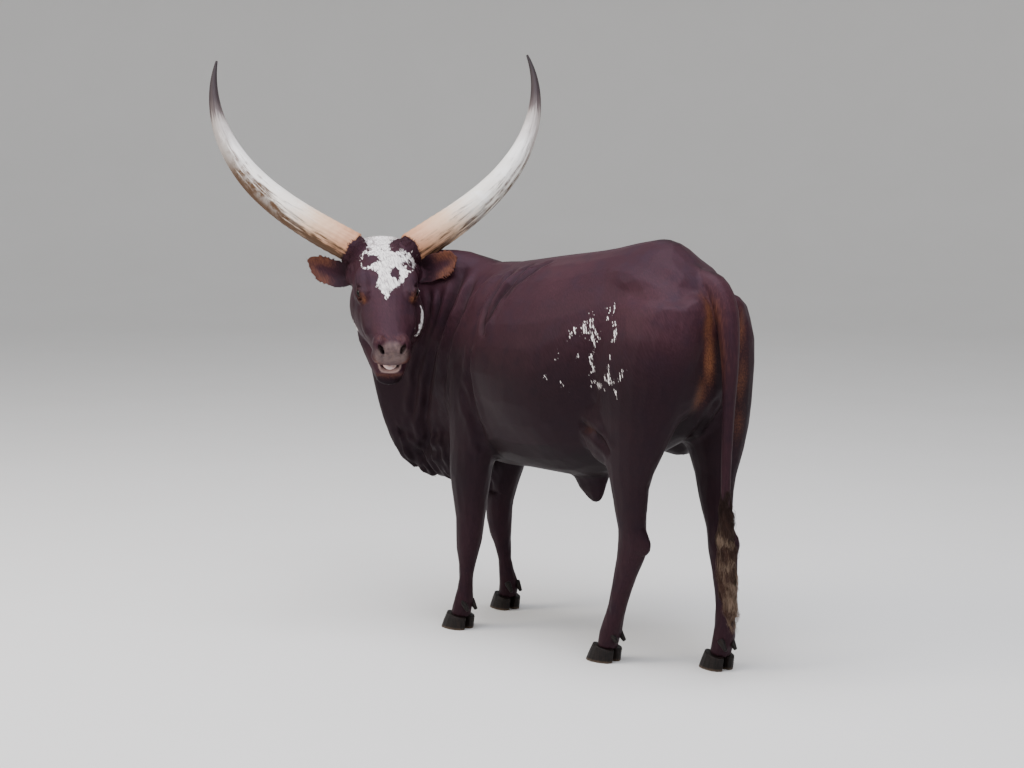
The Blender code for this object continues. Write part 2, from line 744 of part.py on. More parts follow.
def claw(name, foot, side):
    """Half of a cloven hoof: flat sole, sloping toe, level with the cut under the leg."""
    (x, y), heading = FEET[foot]
    bm = bmesh.new()
    count = 14
    half = CLAW_LENGTH / 2
    rows = []
    for level in range(3):
        share = level / 2
        points = []
        for i in range(count):
            t = 2 * math.pi * i / count
            reach = math.cos(t)
            bulge = 1.0 if math.sin(t) * side > 0 else 0.55
            px = reach * half * (1 - 0.24 * share) - 0.020 * share
            py = signed_power(math.sin(t), 0.8) * bulge * CLAW_WIDTH * 0.62 * (1 - 0.06 * share)
            shape_toe = 1 - 0.28 * max(reach, 0) ** 3
            py = py * shape_toe + side * (CLEFT / 2 + CLAW_WIDTH * 0.355)
            if side * py < CLEFT / 2:
                py = side * CLEFT / 2
            pz = coronet(px) * share
            points.append(bm.verts.new((px, py, pz)))
        rows.append(points)
    for near, far in zip(rows, rows[1:]):
        for i in range(count):
            j = (i + 1) % count
            bm.faces.new((near[i], near[j], far[j], far[i]))
    bm.faces.new(list(reversed(rows[0])))
    bm.faces.new(rows[-1])
    bm.transform(foot_matrix(foot))
    return mesh_object(name, bm)


def coronet(px):
    """Height of the slanted top of a claw, at a place along the foot."""
    share = (px + CLAW_LENGTH / 2) / CLAW_LENGTH
    return CORONET_HEEL + (CORONET_TOE - CORONET_HEEL) * share


def foot_matrix(foot):
    (x, y), heading = FEET[foot]
    return Matrix.Translation((x, y, 0)) @ Matrix.Rotation(math.radians(heading), 4, "Z")


def below_coronet(foot):
    """Everything under the slanted plane where the claws begin."""
    bm = bmesh.new()
    bmesh.ops.create_cube(bm, size=1.0)
    bm.transform(Matrix.Translation((0, 0, -0.5)))
    bm.transform(Matrix.Diagonal((0.30, 0.24, 0.15, 1.0)))
    for vert in bm.verts:
        if vert.co.z > -0.01:
            vert.co.z = coronet(vert.co.x) + GAP
    bm.transform(foot_matrix(foot))
    return mesh_object("below", bm)


def dewclaw(name, foot, side):
    """A small horny nub behind the fetlock."""
    bm = bmesh.new()
    bmesh.ops.create_cone(bm, cap_ends=True, segments=9, radius1=0.0135, radius2=0.0065, depth=0.042)
    lean = Matrix.Rotation(math.radians(-140), 4, "Y")
    place = Matrix.Translation((-DEWCLAW_BACK - 0.028, side * 0.021, DEWCLAW_HEIGHT - 0.004))
    bm.transform(foot_matrix(foot) @ place @ lean)
    return mesh_object(name, bm)


def tail_rows(table, steps):
    rows = [eased(table, i / steps) for i in range(steps + 1)]
    return [Vector(row[:3]) for row in rows], [row[3] for row in rows]


def tail(name):
    points, radii = tail_rows(TAIL, 22)
    return tube(name, points, radii, 14)


def switch_core():
    points, radii = tail_rows(SWITCH, 9)
    return tube("tail_switch", points, radii, 10)


def lock(centre_points, start, spin, length, width, curl):
    """One flat, tapered lock that leaves the core, waves, and hangs along it."""
    rings = []
    steps = 4
    for i in range(steps + 1):
        t = i / steps
        place = start + length * t
        row = eased(centre_points, min(place, 1.0))
        below = max(place - 1.0, 0.0) * 0.40
        angle = spin + curl * math.sin(2.4 * math.pi * t) * 0.30
        out = Vector((math.cos(angle), math.sin(angle), 0))
        side = Vector((-math.sin(angle), math.cos(angle), 0))
        away = row[3] * 0.30 + 0.020 * math.sin(math.pi * min(t * 0.85 + 0.02, 1.0)) * curl
        centre = Vector(row[:3]) + out * away - Vector((0, 0, below))
        half = width * (1 - 0.86 * t) * (0.80 + 0.4 * math.sin(math.pi * min(t + 0.15, 1.0)))
        thick = 0.0060 * (1 - 0.72 * t)
        rings.append([
            centre + side * half,
            centre + out * thick,
            centre - side * half,
            centre - out * thick,
        ])
    return loft("lock", rings)


# The whole animal

def leg_part(name, body, foot, axis_top, radii, height):
    """The leg is what lies inside a domed sleeve round it; the body keeps the rest."""
    (x, y), _ = FEET[foot]
    shapes = []
    for more in (0.0, GAP):
        rings = []
        bottom = Vector((x, y, -0.05))
        top = Vector(axis_top)
        steps = 14
        for i in range(steps + 1):
            t = i / steps
            centre = bottom.lerp(Vector((top.x, top.y, height)), t)
            fall = max(t - 0.70, 0) / 0.30
            share = math.sqrt(max(1 - fall ** 2, 0.0009))
            rings.append([
                centre + Vector(((radii[0] + more) * share * math.cos(a),
                                 (radii[1] + more) * share * math.sin(a), more))
                for a in (2 * math.pi * k / 24 for k in range(24))
            ])
        shapes.append(loft("sleeve", rings))
    leg = boolean(copy_of(body, name), shapes[0], "INTERSECT")
    boolean(body, shapes[1], "DIFFERENCE")
    boolean(leg, below_coronet(foot), "DIFFERENCE")
    return largest_shell(leg)


def half_space(point, normal, size):
    """A block on the far side of a plane."""
    bm = bmesh.new()
    bmesh.ops.create_cube(bm, size=size)
    bm.transform(Matrix.Translation((0, 0, size / 2)))
    turn = Vector(normal).normalized().to_track_quat("Z", "Y").to_matrix().to_4x4()
    bm.transform(Matrix.Translation(point) @ turn)
    return mesh_object("half_space", bm)


def head_block(more):
    """The space of the head: in front of a slanted plane behind the poll, and right of the neck's bend."""
    _, left, _, level = head_axes()
    slant = (level * 0.72 + Vector((0, 0, 0.46))).normalized()
    nape = POLL - level * 0.060 - Vector((0, 0, 0.10))
    bm = bmesh.new()
    bmesh.ops.create_cube(bm, size=1.0)
    bm.transform(Matrix.Translation((0.5, 0.0, 0.0)))
    bm.transform(Matrix.Diagonal((0.90, 0.45 + 2 * more, 1.10, 1.0)))
    bm.transform(Matrix.Translation((-more, 0.138 - 0.225, 0.0)))
    turn = Matrix((slant, left, slant.cross(left))).transposed().to_4x4()
    bm.transform(Matrix.Translation(nape) @ turn)
    return mesh_object("head_block", bm)


def split(thing, name, point, normal, size):
    """Parts a node with a thin flat cut: the far side becomes a node of its own."""
    normal = Vector(normal).normalized()
    far = boolean(copy_of(thing, name), half_space(Vector(point) + normal * GAP, normal, size),
                  "INTERSECT")
    boolean(thing, half_space(Vector(point), normal, size), "DIFFERENCE")
    return largest_shell(far)


def feet(legs):
    made = []
    for foot, leg in legs.items():
        for side, label in ((1, "left"), (-1, "right")):
            made.append(claw(f"claw_{foot}_{label}", foot, side))
            nub = dewclaw(f"dewclaw_{foot}_{label}", foot, side)
            boolean(nub, grown(leg, GAP), "DIFFERENCE")
            made.append(largest_shell(nub))
    return made


def build():
    for thing in list(bpy.data.objects):
        bpy.data.objects.remove(thing)

    body = body_flesh()
    legs = {}
    for foot, (name, top, radii, height) in LEG_SLEEVES.items():
        legs[foot] = leg_part(name, body, foot, top, radii, height)
    flesh = list(legs.values())
    neck_cut = Vector((0.560, 0.030, 0.930))
    neck = split(body, "neck", neck_cut, (1.0, 0.22, 0.28), 1.6)
    sheath = split(body, "sheath", (-0.02, 0, 0.572), (0.0, 0.0, -1.0), 0.24)
    largest_shell(body)
    body.name = "torso"
    flesh += [neck, sheath, body]

    head = boolean(head_flesh(), head_block(0.0), "INTERSECT")
    boolean(neck, head_block(GAP), "DIFFERENCE")
    largest_shell(neck)
    largest_shell(head)
    head.name = "head"

    others = []
    for way, label in ((1, "left"), (-1, "right")):
        united(head, [lid_rim(way)])
        boolean(head, eye_ball("socket", way, EYE_RADIUS + GAP * 2), "DIFFERENCE")
        boolean(head, lid_slit(way), "DIFFERENCE")
        boolean(head, nostril(way), "DIFFERENCE")
        others.append(eye_ball(f"eye_{label}", way, EYE_RADIUS))
    boolean(head, mouth_gap(), "DIFFERENCE")
    boolean(head, tongue("tongue_bed", GAP * 2), "DIFFERENCE")
    largest_shell(head)
    others.append(tongue("tongue"))

    clear_head = grown(head, GAP)
    clear_neck = grown(neck, GAP)
    for way, label in ((1, "left"), (-1, "right")):
        shape = horn(f"horn_{label}", way)
        boolean(shape, clear_head, "DIFFERENCE", keep_other=True)
        boolean(shape, clear_neck, "DIFFERENCE", keep_other=True)
        others.append(largest_shell(shape))
        cup = ear(f"ear_{label}", way)
        boolean(cup, clear_head, "DIFFERENCE", keep_other=True)
        boolean(cup, clear_neck, "DIFFERENCE", keep_other=True)
        boolean(cup, horn("clear_horn", way, 2 * GAP), "DIFFERENCE")
        flesh.append(largest_shell(cup))
    discard(clear_head, clear_neck)
    flesh.append(head)

    dock = tail("tail")
    boolean(dock, grown(body, GAP), "DIFFERENCE")
    largest_shell(dock)
    switch = switch_core()
    draw = random.Random(7)
    locks = []
    for i in range(LOCKS):
        start = 0.02 + 0.62 * (i / LOCKS) ** 0.9
        spin = i * 2.399963 + draw.uniform(-0.3, 0.3)
        length = draw.uniform(0.40, 0.56)
        width = draw.uniform(0.018, 0.025)
        locks.append(lock(SWITCH, start, spin, length, width, draw.uniform(0.55, 1.0)))
    united(switch, locks)
    tail_end = Vector(SWITCH[0][:3])
    boolean(switch, half_space(tail_end - Vector((0, 0, GAP)), (0, 0, -1), 1.2), "INTERSECT")
    largest_shell(switch)
    boolean(dock, half_space(tail_end, (0, 0, -1), 1.2), "DIFFERENCE")
    flesh.append(dock)
    hoofs = feet(legs)

    finish(flesh, material("coat", COAT, 0.55))
    finish([o for o in others if o.name.startswith("horn")], material("horn", HORN, 0.45))
    finish([o for o in others if o.name.startswith("eye")], material("eye", EYE_COLOUR, 0.08))
    finish([o for o in others if o.name.startswith("tongue")], material("tongue", TONGUE_COLOUR, 0.40))
    finish(hoofs, material("hoof", HOOF, 0.60))
    finish([switch], material("switch", SWITCH_COLOUR, 0.70))
    stand_on_origin(flesh + others + hoofs + [switch])


def finish(things, look):
    for thing in things:
        thing.data.materials.clear()
        thing.data.materials.append(look)
        thing.data.shade_smooth()
        thing.data.set_sharp_from_angle(angle=math.radians(50))


def stand_on_origin(nodes):
    """Parents every node to one empty and moves it so that the footprint box is centred."""
    corners = [v.co for node in nodes for v in node.data.vertices]
    middle = [(min(c[k] for c in corners) + max(c[k] for c in corners)) / 2 for k in range(2)]
    hub = bpy.data.objects.new("standing_point", None)
    bpy.context.scene.collection.objects.link(hub)
    hub.location = (-middle[0], -middle[1], 0)
    for node in nodes:
        node.parent = hub
    print("footprint middle in the stance frame", [round(m, 4) for m in middle])


build()
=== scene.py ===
# %% [markdown]
# # A long-horned steer, standing
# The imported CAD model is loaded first, as a fixed frame: it says where every body part is. The
# scene then makes the looks around it. Reading the places from the frame, and not by hand, keeps
# the skin, horns and hooves exactly where the solid parts are.

# %% Load the frame
from math import atan, cos, pi, radians, sin

import bmesh
import bpy
import numpy as np
from mathutils import Matrix, Vector, noise
from mathutils.bvhtree import BVHTree
from mathutils.kdtree import KDTree


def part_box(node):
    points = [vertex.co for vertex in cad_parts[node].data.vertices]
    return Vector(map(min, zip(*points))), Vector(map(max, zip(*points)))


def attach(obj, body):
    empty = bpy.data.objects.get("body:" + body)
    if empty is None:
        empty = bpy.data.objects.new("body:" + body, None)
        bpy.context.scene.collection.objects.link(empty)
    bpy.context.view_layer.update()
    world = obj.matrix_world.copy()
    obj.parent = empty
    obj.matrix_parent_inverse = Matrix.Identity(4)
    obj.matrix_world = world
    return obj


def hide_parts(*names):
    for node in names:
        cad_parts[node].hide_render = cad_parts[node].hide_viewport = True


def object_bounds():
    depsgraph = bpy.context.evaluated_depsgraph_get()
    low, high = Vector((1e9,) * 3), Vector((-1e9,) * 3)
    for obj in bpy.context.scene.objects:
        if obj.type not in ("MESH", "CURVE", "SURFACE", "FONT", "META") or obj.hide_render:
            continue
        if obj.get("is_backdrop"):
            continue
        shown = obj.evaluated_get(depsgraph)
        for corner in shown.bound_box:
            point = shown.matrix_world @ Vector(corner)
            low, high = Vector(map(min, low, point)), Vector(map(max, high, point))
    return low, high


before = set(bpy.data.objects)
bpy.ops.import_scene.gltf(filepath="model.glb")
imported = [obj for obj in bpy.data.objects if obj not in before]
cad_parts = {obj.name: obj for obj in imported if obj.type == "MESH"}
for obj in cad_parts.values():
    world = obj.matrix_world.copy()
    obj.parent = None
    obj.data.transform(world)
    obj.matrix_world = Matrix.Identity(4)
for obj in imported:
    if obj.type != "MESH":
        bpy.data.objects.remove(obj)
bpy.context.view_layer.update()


def plain_box():
    """The corners of the whole object's box as plain lists."""
    return [[float(value) for value in corner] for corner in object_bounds()]


# %% [markdown]
# ## Where the animal stands
# The body was drawn with the withers over one origin and the head turned to the animal's left. The
# middle of the two eyes is found from their solids, and from it follow the poll, which is the top
# of the head, and the head's own three directions. Markings and hair are placed in these.

# %% Find the head and the body
FACING = radians(146.5)
FACE_SLOPE = radians(45.0)
EYE_ALONG = 0.239
EYE_ASIDE = 0.0910
EYE_DEEP = 0.031
POLL_FROM_WITHERS = Vector((0.762, 0.293, 1.398))
SKY = Vector((0, 0, 1))

level = Vector((cos(FACING), sin(FACING), 0))
left = Vector((-sin(FACING), cos(FACING), 0))
along = level * cos(FACE_SLOPE) - SKY * sin(FACE_SLOPE)
up = level * sin(FACE_SLOPE) + SKY * cos(FACE_SLOPE)


def middle(node):
    """The middle of a node's box."""
    low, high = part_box(node)
    return (Vector(low) + Vector(high)) / 2


poll = (middle("eye_left") + middle("eye_right")) / 2 - along * EYE_ALONG + up * EYE_DEEP
withers = poll - POLL_FROM_WITHERS
HEAD_AXES = np.array([along, left, up])


def on_body(x, y, z):
    """A point given from the spot on the floor under the withers."""
    return withers + Vector((x, y, z))


def on_head(a, s, u):
    """A point given from the poll: down the face, to the animal's left, out of the forehead."""
    return poll + along * a + left * s + up * u


def from_withers(points):
    return points - np.array(withers)


def from_poll(points):
    return (points - np.array(poll)) @ HEAD_AXES.T


print("poll at", [round(v, 3) for v in poll])

# %% [markdown]
# ## The camera
# It stands six metres off the left hind quarter, at a person's eye height, and looks a little
# down. It is made before the shapes, because folds and markings are found by looking through it.

# %% Camera at the photograph's place
LENS_PIXELS = 2000.0
PHOTO_WIDTH = 1024.0
PHOTO_MIDDLE = (512.0, 384.0)
HORIZON_ROW = 155.0
SENSOR_MM = 36.0
STAND = (-4.882, 4.755, 1.69)
HEADING = radians(42.0)

camera_data = bpy.data.cameras.new("eye_height_camera")
camera_data.sensor_width = SENSOR_MM
camera_data.lens = SENSOR_MM * LENS_PIXELS / PHOTO_WIDTH
camera = bpy.data.objects.new("eye_height_camera", camera_data)
bpy.context.scene.collection.objects.link(camera)
camera.location = on_body(*STAND)
TILT = atan((PHOTO_MIDDLE[1] - HORIZON_ROW) / LENS_PIXELS)
sight = Vector((cos(HEADING) * cos(TILT), -sin(HEADING) * cos(TILT), -sin(TILT)))
camera.rotation_euler = sight.to_track_quat("-Z", "Y").to_euler()
bpy.context.scene.camera = camera
SIGHT_RIGHT = sight.cross(SKY).normalized()
SIGHT_UP = SIGHT_RIGHT.cross(sight)


def sight_through(x, y):
    """The camera's line of sight through a pixel of the 1024 by 768 photograph."""
    aside = SIGHT_RIGHT * (x - PHOTO_MIDDLE[0]) + SIGHT_UP * (PHOTO_MIDDLE[1] - y)
    return (sight * LENS_PIXELS + aside).normalized()


print("camera at", [round(v, 2) for v in camera.location])

# %% [markdown]
# ## One skin over all the flesh
# A real hide has no seams. The flesh solids are copied, merged, swollen by half a millimetre so
# that they overlap, and voxel remeshing fuses them into one closed surface. It could be modelled
# by hand instead, but the remesh follows the solids by itself and gives even faces to sculpt on.

# %% Fuse the flesh
FLESH = [
    "torso", "neck", "head", "sheath", "tail", "foreleg_left", "foreleg_right",
    "hindleg_left", "hindleg_right", "ear_left", "ear_right",
]
SKIN_VOXEL = 0.0034
OVERLAP = 0.0005


def linked(name, mesh):
    thing = bpy.data.objects.new(name, mesh)
    bpy.context.scene.collection.objects.link(thing)
    return thing


def mesh_from(name, bm):
    mesh = bpy.data.meshes.new(name)
    bm.to_mesh(mesh)
    bm.free()
    return linked(name, mesh)


def merged_copy(node):
    """A node's loose triangles as one connected bmesh."""
    bm = bmesh.new()
    bm.from_mesh(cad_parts[node].data)
    bmesh.ops.remove_doubles(bm, verts=bm.verts, dist=1e-5)
    bm.normal_update()
    return bm


def baked(thing):
    """Applies an object's modifiers to its mesh."""
    graph = bpy.context.evaluated_depsgraph_get()
    mesh = bpy.data.meshes.new_from_object(thing.evaluated_get(graph))
    thing.modifiers.clear()
    thing.data = mesh
    return thing


def rounded_outwards(bm):
    """Smooth shading, with every face turned outwards."""
    for face in bm.faces:
        face.smooth = True
    bmesh.ops.recalc_face_normals(bm, faces=bm.faces)


def fused(name, nodes, swell, voxel):
    """One closed surface round several nodes."""
    bm = bmesh.new()
    for node in nodes:
        part = merged_copy(node)
        for vertex in part.verts:
            vertex.co += vertex.normal * swell
        mesh = bpy.data.meshes.new("part")
        part.to_mesh(mesh)
        part.free()
        bm.from_mesh(mesh)
        bpy.data.meshes.remove(mesh)
    thing = mesh_from(name, bm)
    remesh = thing.modifiers.new("remesh", "REMESH")
    remesh.mode = "VOXEL"
    remesh.voxel_size = voxel
    return baked(thing)


skin = fused("skin", FLESH + ["eye_left", "eye_right"], OVERLAP, SKIN_VOXEL)
print("skin vertices after remesh", len(skin.data.vertices))

# %% [markdown]
# ## Which part each point belongs to
# Smoothing, hair length and hair direction differ from part to part. Each point of the skin takes
# the name of the nearest flesh solid, found with a k-d tree, which is a quick way to ask for the
# nearest of many points.

# %% Name the parts of the skin
def points_of(mesh):
    values = np.empty(len(mesh.vertices) * 3, np.float32)
    mesh.vertices.foreach_get("co", values)
    return values.reshape(-1, 3).astype(np.float64)


def normals_of(mesh):
    values = np.empty(len(mesh.vertices) * 3, np.float32)
    mesh.vertex_normals.foreach_get("vector", values)
    return values.reshape(-1, 3).astype(np.float64)


def edges_of(mesh):
    values = np.empty(len(mesh.edges) * 2, np.int32)
    mesh.edges.foreach_get("vertices", values)
    return values.reshape(-1, 2)


def place_points(mesh, points):
    mesh.vertices.foreach_set("co", points.astype(np.float32).ravel())
    mesh.update()


def part_finder():
    """A tree of points spread over the flesh solids, and the part of each."""
    places = []
    owners = []
    for number, node in enumerate(FLESH):
        bm = merged_copy(node)
        long_edges = [edge for edge in bm.edges if edge.calc_length() > 0.03]
        bmesh.ops.subdivide_edges(bm, edges=long_edges, cuts=2)
        places += [vertex.co.copy() for vertex in bm.verts]
        owners += [number] * len(bm.verts)
        bm.free()
    tree = KDTree(len(places))
    for number, place in enumerate(places):
        tree.insert(place, number)
    tree.balance()
    return tree, np.array(owners)


part_tree, part_owner = part_finder()


def parts_at(points):
    return part_owner[[part_tree.find(point)[1] for point in points]]


skin_part = parts_at(points_of(skin.data))
IS_EAR = (FLESH.index("ear_left"), FLESH.index("ear_right"))
EAR_SIDES = tuple(zip((1, -1), IS_EAR))
IS_HEAD = FLESH.index("head")
IS_NECK = FLESH.index("neck")
IS_TAIL = FLESH.index("tail")
IS_LEG = tuple(FLESH.index(name) for name in FLESH if "leg_" in name)
print("points in each part", dict(zip(FLESH, np.bincount(skin_part, minlength=len(FLESH)))))

# %% [markdown]
# ## Soften the facets
# The solids are faceted, but flesh is round. Each point moves towards the mean of its neighbours
# and then a little back out, the Taubin way, so that facets vanish and the body doesn't shrink.
# The broad trunk takes many rounds; thin ears and the fine face only a few.

# %% Smooth the skin
def neighbour_mean(points, edges, count):
    """The mean of each point's neighbours."""
    total = np.empty_like(points)
    for axis in range(points.shape[1]):
        total[:, axis] = (
            np.bincount(edges[:, 0], points[edges[:, 1], axis], count)
            + np.bincount(edges[:, 1], points[edges[:, 0], axis], count)
        )
    degree = np.bincount(edges.ravel(), minlength=count)
    return total / degree[:, None]


def softened(points, edges, weight, rounds, push_back=0.52):
    """Taubin smoothing: in by a half, out by push_back."""
    count = len(points)
    for _ in range(rounds):
        points = points + (neighbour_mean(points, edges, count) - points) * 0.5 * weight
        points = points - (neighbour_mean(points, edges, count) - points) * push_back * weight
    return points


BODY_ROUNDS = 90
FACE_ROUNDS = 8
EAR_ROUNDS = 7

softness = np.ones(len(skin_part))
softness[np.isin(skin_part, IS_LEG)] = 0.85
softness[skin_part == IS_TAIL] = 0.6
softness[skin_part == IS_HEAD] = 0.0
softness[np.isin(skin_part, IS_EAR)] = 0.0
skin_edges = edges_of(skin.data)
skin_count = len(skin_part)
for _ in range(12):
    softness = 0.5 * softness + 0.5 * neighbour_mean(softness[:, None], skin_edges, skin_count)[:, 0]
points = points_of(skin.data)
points = softened(points, skin_edges, softness[:, None], BODY_ROUNDS)
face_softness = np.clip(0.35 + softness, 0, 1)
face_softness[np.isin(skin_part, IS_EAR)] = 0.60
points = softened(points, skin_edges, face_softness[:, None], FACE_ROUNDS, 0.50)
ear_softness = np.isin(skin_part, IS_EAR).astype(float)
points = softened(points, skin_edges, ear_softness[:, None], EAR_ROUNDS, 0.0)
place_points(skin.data, points)
print("smoothed", skin_count, "points")

# %% [markdown]
# ## From the photograph to the hide
# The folds and most of the markings are picked in the photograph. A pick becomes a real
# place where the camera's line of sight through its pixel first meets the smoothed skin. The same
# places could be measured one by one, but a pick can be checked against the picture at once.

# %% Cast picks onto the skin
def faces_tree(mesh):
    """A tree of a mesh's faces, which finds quickly where a line meets them."""
    bm = bmesh.new()
    bm.from_mesh(mesh)
    tree = BVHTree.FromBMesh(bm)
    bm.free()
    return tree


hide_tree = faces_tree(skin.data)


def seen_at(x, y):
    """The place on the skin that shows at a pixel of the photograph."""
    return np.array(hide_tree.ray_cast(camera.location, sight_through(x, y))[0])


def placed(points, measured):
    """Picks as places: two numbers are a pixel, and three are metres that stay as they are."""
    return np.array([
        point if len(point) == 3 else measured(seen_at(*point)[None])[0] for point in points])


print("the middle of the face lies at", [round(float(v), 3) for v in seen_at(388, 310)])

# %% [markdown]
# ## Folds of loose hide
# Where the neck turns to the animal's left, the hide bunches into long soft folds that run down
# from the crest. Each fold is a line of points laid on the body: the skin sinks along it and
# swells on both sides. Sculpting by hand would give the same, but a line can be moved later.

# %% Sculpt the folds
def distance_to_line(points, line):
    """The distance of each point to a broken line, and how far along it the nearest place is."""
    best = np.full(len(points), 9.0)
    place = np.zeros(len(points))
    line = np.asarray(line, dtype=float)
    for number in range(len(line) - 1):
        start = line[number]
        run = line[number + 1] - start
        share = np.clip((points - start) @ run / (run @ run), 0, 1)
        away = np.linalg.norm(points - start - share[:, None] * run, axis=1)
        nearer = away < best
        best[nearer] = away[nearer]
        place[nearer] = (number + share[nearer]) / (len(line) - 1)
    return best, place


def smooth_step(low, high, value):
    share = np.clip((value - low) / (high - low), 0, 1)
    return share * share * (3 - 2 * share)


def bump(value, centre, width):
    return np.exp(-((value - centre) / width) ** 2)


def wander(points, scale, size, seed):
    """A smooth random amount for each point."""
    shift = Vector((seed * 7.31, seed * 3.17, seed * 1.93))
    return np.array([noise.noise(Vector(point) * scale + shift) for point in points]) * size


# Each fold: depth and width in metres, then its points from the top down. Two numbers are a pixel,
# and three are metres from the withers, where the photograph doesn't show the fold.
FOLDS = (
    (0.0060, 0.013, ((429.5, 284), (430.5, 300), (430, 316), (426, 334), (421, 352), (416, 368),
                     (412, 384))),
    (0.0085, 0.015, ((443, 287), (440, 304), (435, 324), (429, 342), (423, 360), (418, 380),
                     (415, 400), (413, 425))),
    (0.0105, 0.019, ((471, 261), (462.5, 276), (455, 294), (447, 314), (440, 334), (434, 352),
                     (430, 372), (427, 394), (425, 420), (427, 440), (0.705, 0.120, 0.590))),
    (0.0060, 0.018, ((480, 272), (471, 290), (463, 310), (455, 328), (449, 346), (445, 366),
                     (443, 388), (0.570, 0.180, 0.770), (0.600, 0.150, 0.680))),
    (0.0070, 0.016, ((519, 267), (506, 280), (495, 296), (487.5, 310), (483, 326), (482, 340))),
    (0.0070, 0.014, ((538, 261), (524, 272), (511, 285), (500, 298), (491, 314), (485, 328))),
    (0.0045, 0.014, ((557, 259), (538, 268), (524, 278), (513, 288), (502, 302))),
    (0.0070, 0.017, ((476, 334), (469, 352), (467, 370), (470, 392), (475, 410), (482, 428),
                     (488, 448))),
    (0.0055, 0.014, ((462, 380), (466, 400), (472, 418), (479, 436), (484.5, 454))),
    (0.0060, 0.014, ((578, 424), (584, 426), (592, 430), (600, 438), (606, 446), (611, 455))),
    (0.0060, 0.014, ((718, 396), (712, 408), (704, 420), (697, 430), (688, 438))),
    (0.0040, 0.020, ((0.300, -0.030, 1.320), (0.300, -0.110, 1.280), (0.320, -0.170, 1.200),
                     (0.350, -0.215, 1.080), (0.370, -0.235, 0.950), (0.360, -0.235, 0.830))),
    (0.0030, 0.018, ((0.520, -0.090, 1.270), (0.560, -0.120, 1.180), (0.600, -0.120, 1.050),
                     (0.640, -0.100, 0.900), (0.670, -0.060, 0.760))),
)
FOLD_LINES = [(deep, wide, placed(line, from_withers)) for deep, wide, line in FOLDS]
FOLD_STRENGTH = 1.35


def where_folds_are(here):
    """Numbers of the points, given from the withers, that a fold can reach."""
    return np.where((here[:, 0] > -0.65) & (here[:, 0] < 0.80) & (here[:, 2] > 0.45))[0]


def fold_depths(points):
    """How far each point of the skin moves out at the folds."""
    depth = np.zeros(len(points))
    here = from_withers(points)
    chosen = where_folds_are(here)
    place = here[chosen]
    sway = wander(place, 9.0, 0.010, 1)
    strength = 1.0 + wander(place, 14.0, 0.8, 2)
    total = np.zeros(len(chosen))
    for deep, wide, line in FOLD_LINES:
        away, share = distance_to_line(place, line)
        away = np.abs(away + sway * 0.35)
        ends = smooth_step(0, 0.18, share) * smooth_step(1, 0.88, share)
        valley = bump(away, 0, wide)
        swell = bump(away, 1.9 * wide, 1.1 * wide)
        total += FOLD_STRENGTH * deep * strength * ends * (0.55 * swell - 0.9 * valley)
    dewlap = smooth_step(0.78, 0.62, place[:, 2]) * smooth_step(0.52, 0.66, place[:, 0])
    total += dewlap * wander(place * (1.6, 0.5, 1.0), 26.0, 0.016, 3)
    depth[chosen] = total
    return depth


def fold_shade(points):
    """How deep in a fold each point lies, from 0 to 1, for the painted shade in the fold valleys."""
    here = from_withers(points)
    chosen = where_folds_are(here)
    shade = np.zeros(len(points))
    for deep, wide, line in FOLD_LINES:
        away, share = distance_to_line(here[chosen], line)
        ends = smooth_step(0, 0.15, share) * smooth_step(1, 0.9, share)
        valley = np.minimum(deep / 0.007, 1) * ends * bump(away, 0, wide)
        shade[chosen] = np.maximum(shade[chosen], valley)
    return shade


points = points_of(skin.data)
points += normals_of(skin.data) * fold_depths(points)[:, None]
place_points(skin.data, points)
print("folds", len(FOLD_LINES))

# %% [markdown]
# ## Finer faces for the head
# Eyelids, nostrils and lips have edges of a millimetre or two, finer than the remesh. Only the
# faces round them are subdivided, because fine faces over the whole animal would be too many.

# %% Subdivide round eyes, nostrils and mouth
EYE_RADIUS = 0.0185
GAZE = Vector((0.36, 0.74, 0.56))


def eye_axes(way):
    """Along the lids to the inner corner, towards the lower lid, and along the gaze."""
    gaze = Vector((GAZE.x, GAZE.y * way, GAZE.z)).normalized()
    lids = Vector((1.0, 0.10 * way, -0.10))
    lids = (lids - gaze * lids.dot(gaze)).normalized()
    down = gaze.cross(lids) * way
    to_row = Matrix((along, left, up)).transposed()
    return np.array([to_row @ lids, to_row @ down, to_row @ gaze])


EYES = {way: np.array(on_head(EYE_ALONG, EYE_ASIDE * way, -EYE_DEEP)) for way in (1, -1)}


def refined(thing, centres, radius, cuts):
    """Subdivides the edges within a radius of the given places."""
    places = points_of(thing.data)
    chosen = np.zeros(len(places), bool)
    for centre in centres:
        chosen |= np.linalg.norm(places - np.array(centre), axis=1) < radius
    bm = bmesh.new()
    bm.from_mesh(thing.data)
    bm.edges.ensure_lookup_table()
    picked = np.where(chosen[edges_of(thing.data)].all(axis=1))[0]
    bmesh.ops.subdivide_edges(
        bm, edges=[bm.edges[number] for number in picked], cuts=cuts, use_grid_fill=True)
    bm.to_mesh(thing.data)
    bm.free()
    print("subdivided", len(picked), "edges")


nostrils = [on_head(0.490, side * 0.036, -0.037) for side in (1, -1)]
lip_places = [on_head(0.490, side * 0.032, -0.125) for side in (1, 0, -1)]
lip_places += [on_head(0.482, side * 0.026, -0.165) for side in (1, 0, -1)]
refined(skin, list(EYES.values()), 0.040, 1)
refined(skin, list(EYES.values()), 0.029, 1)
refined(skin, nostrils + lip_places, 0.031, 1)

# %% [markdown]
# ## Eyelids and face
# The skin inside each almond opening is pushed back behind the eyeball, and round it it is set a
# few millimetres proud of the ball, as a lid is. A crease above and a tear fold at the inner
# corner follow. Veins and the ridge of the cheek run down the face in low relief.

# %% Sculpt the lids, nostrils and face
LID_LENGTH = 0.0155
LID_UPPER = 0.0070
LID_LOWER = 0.0064


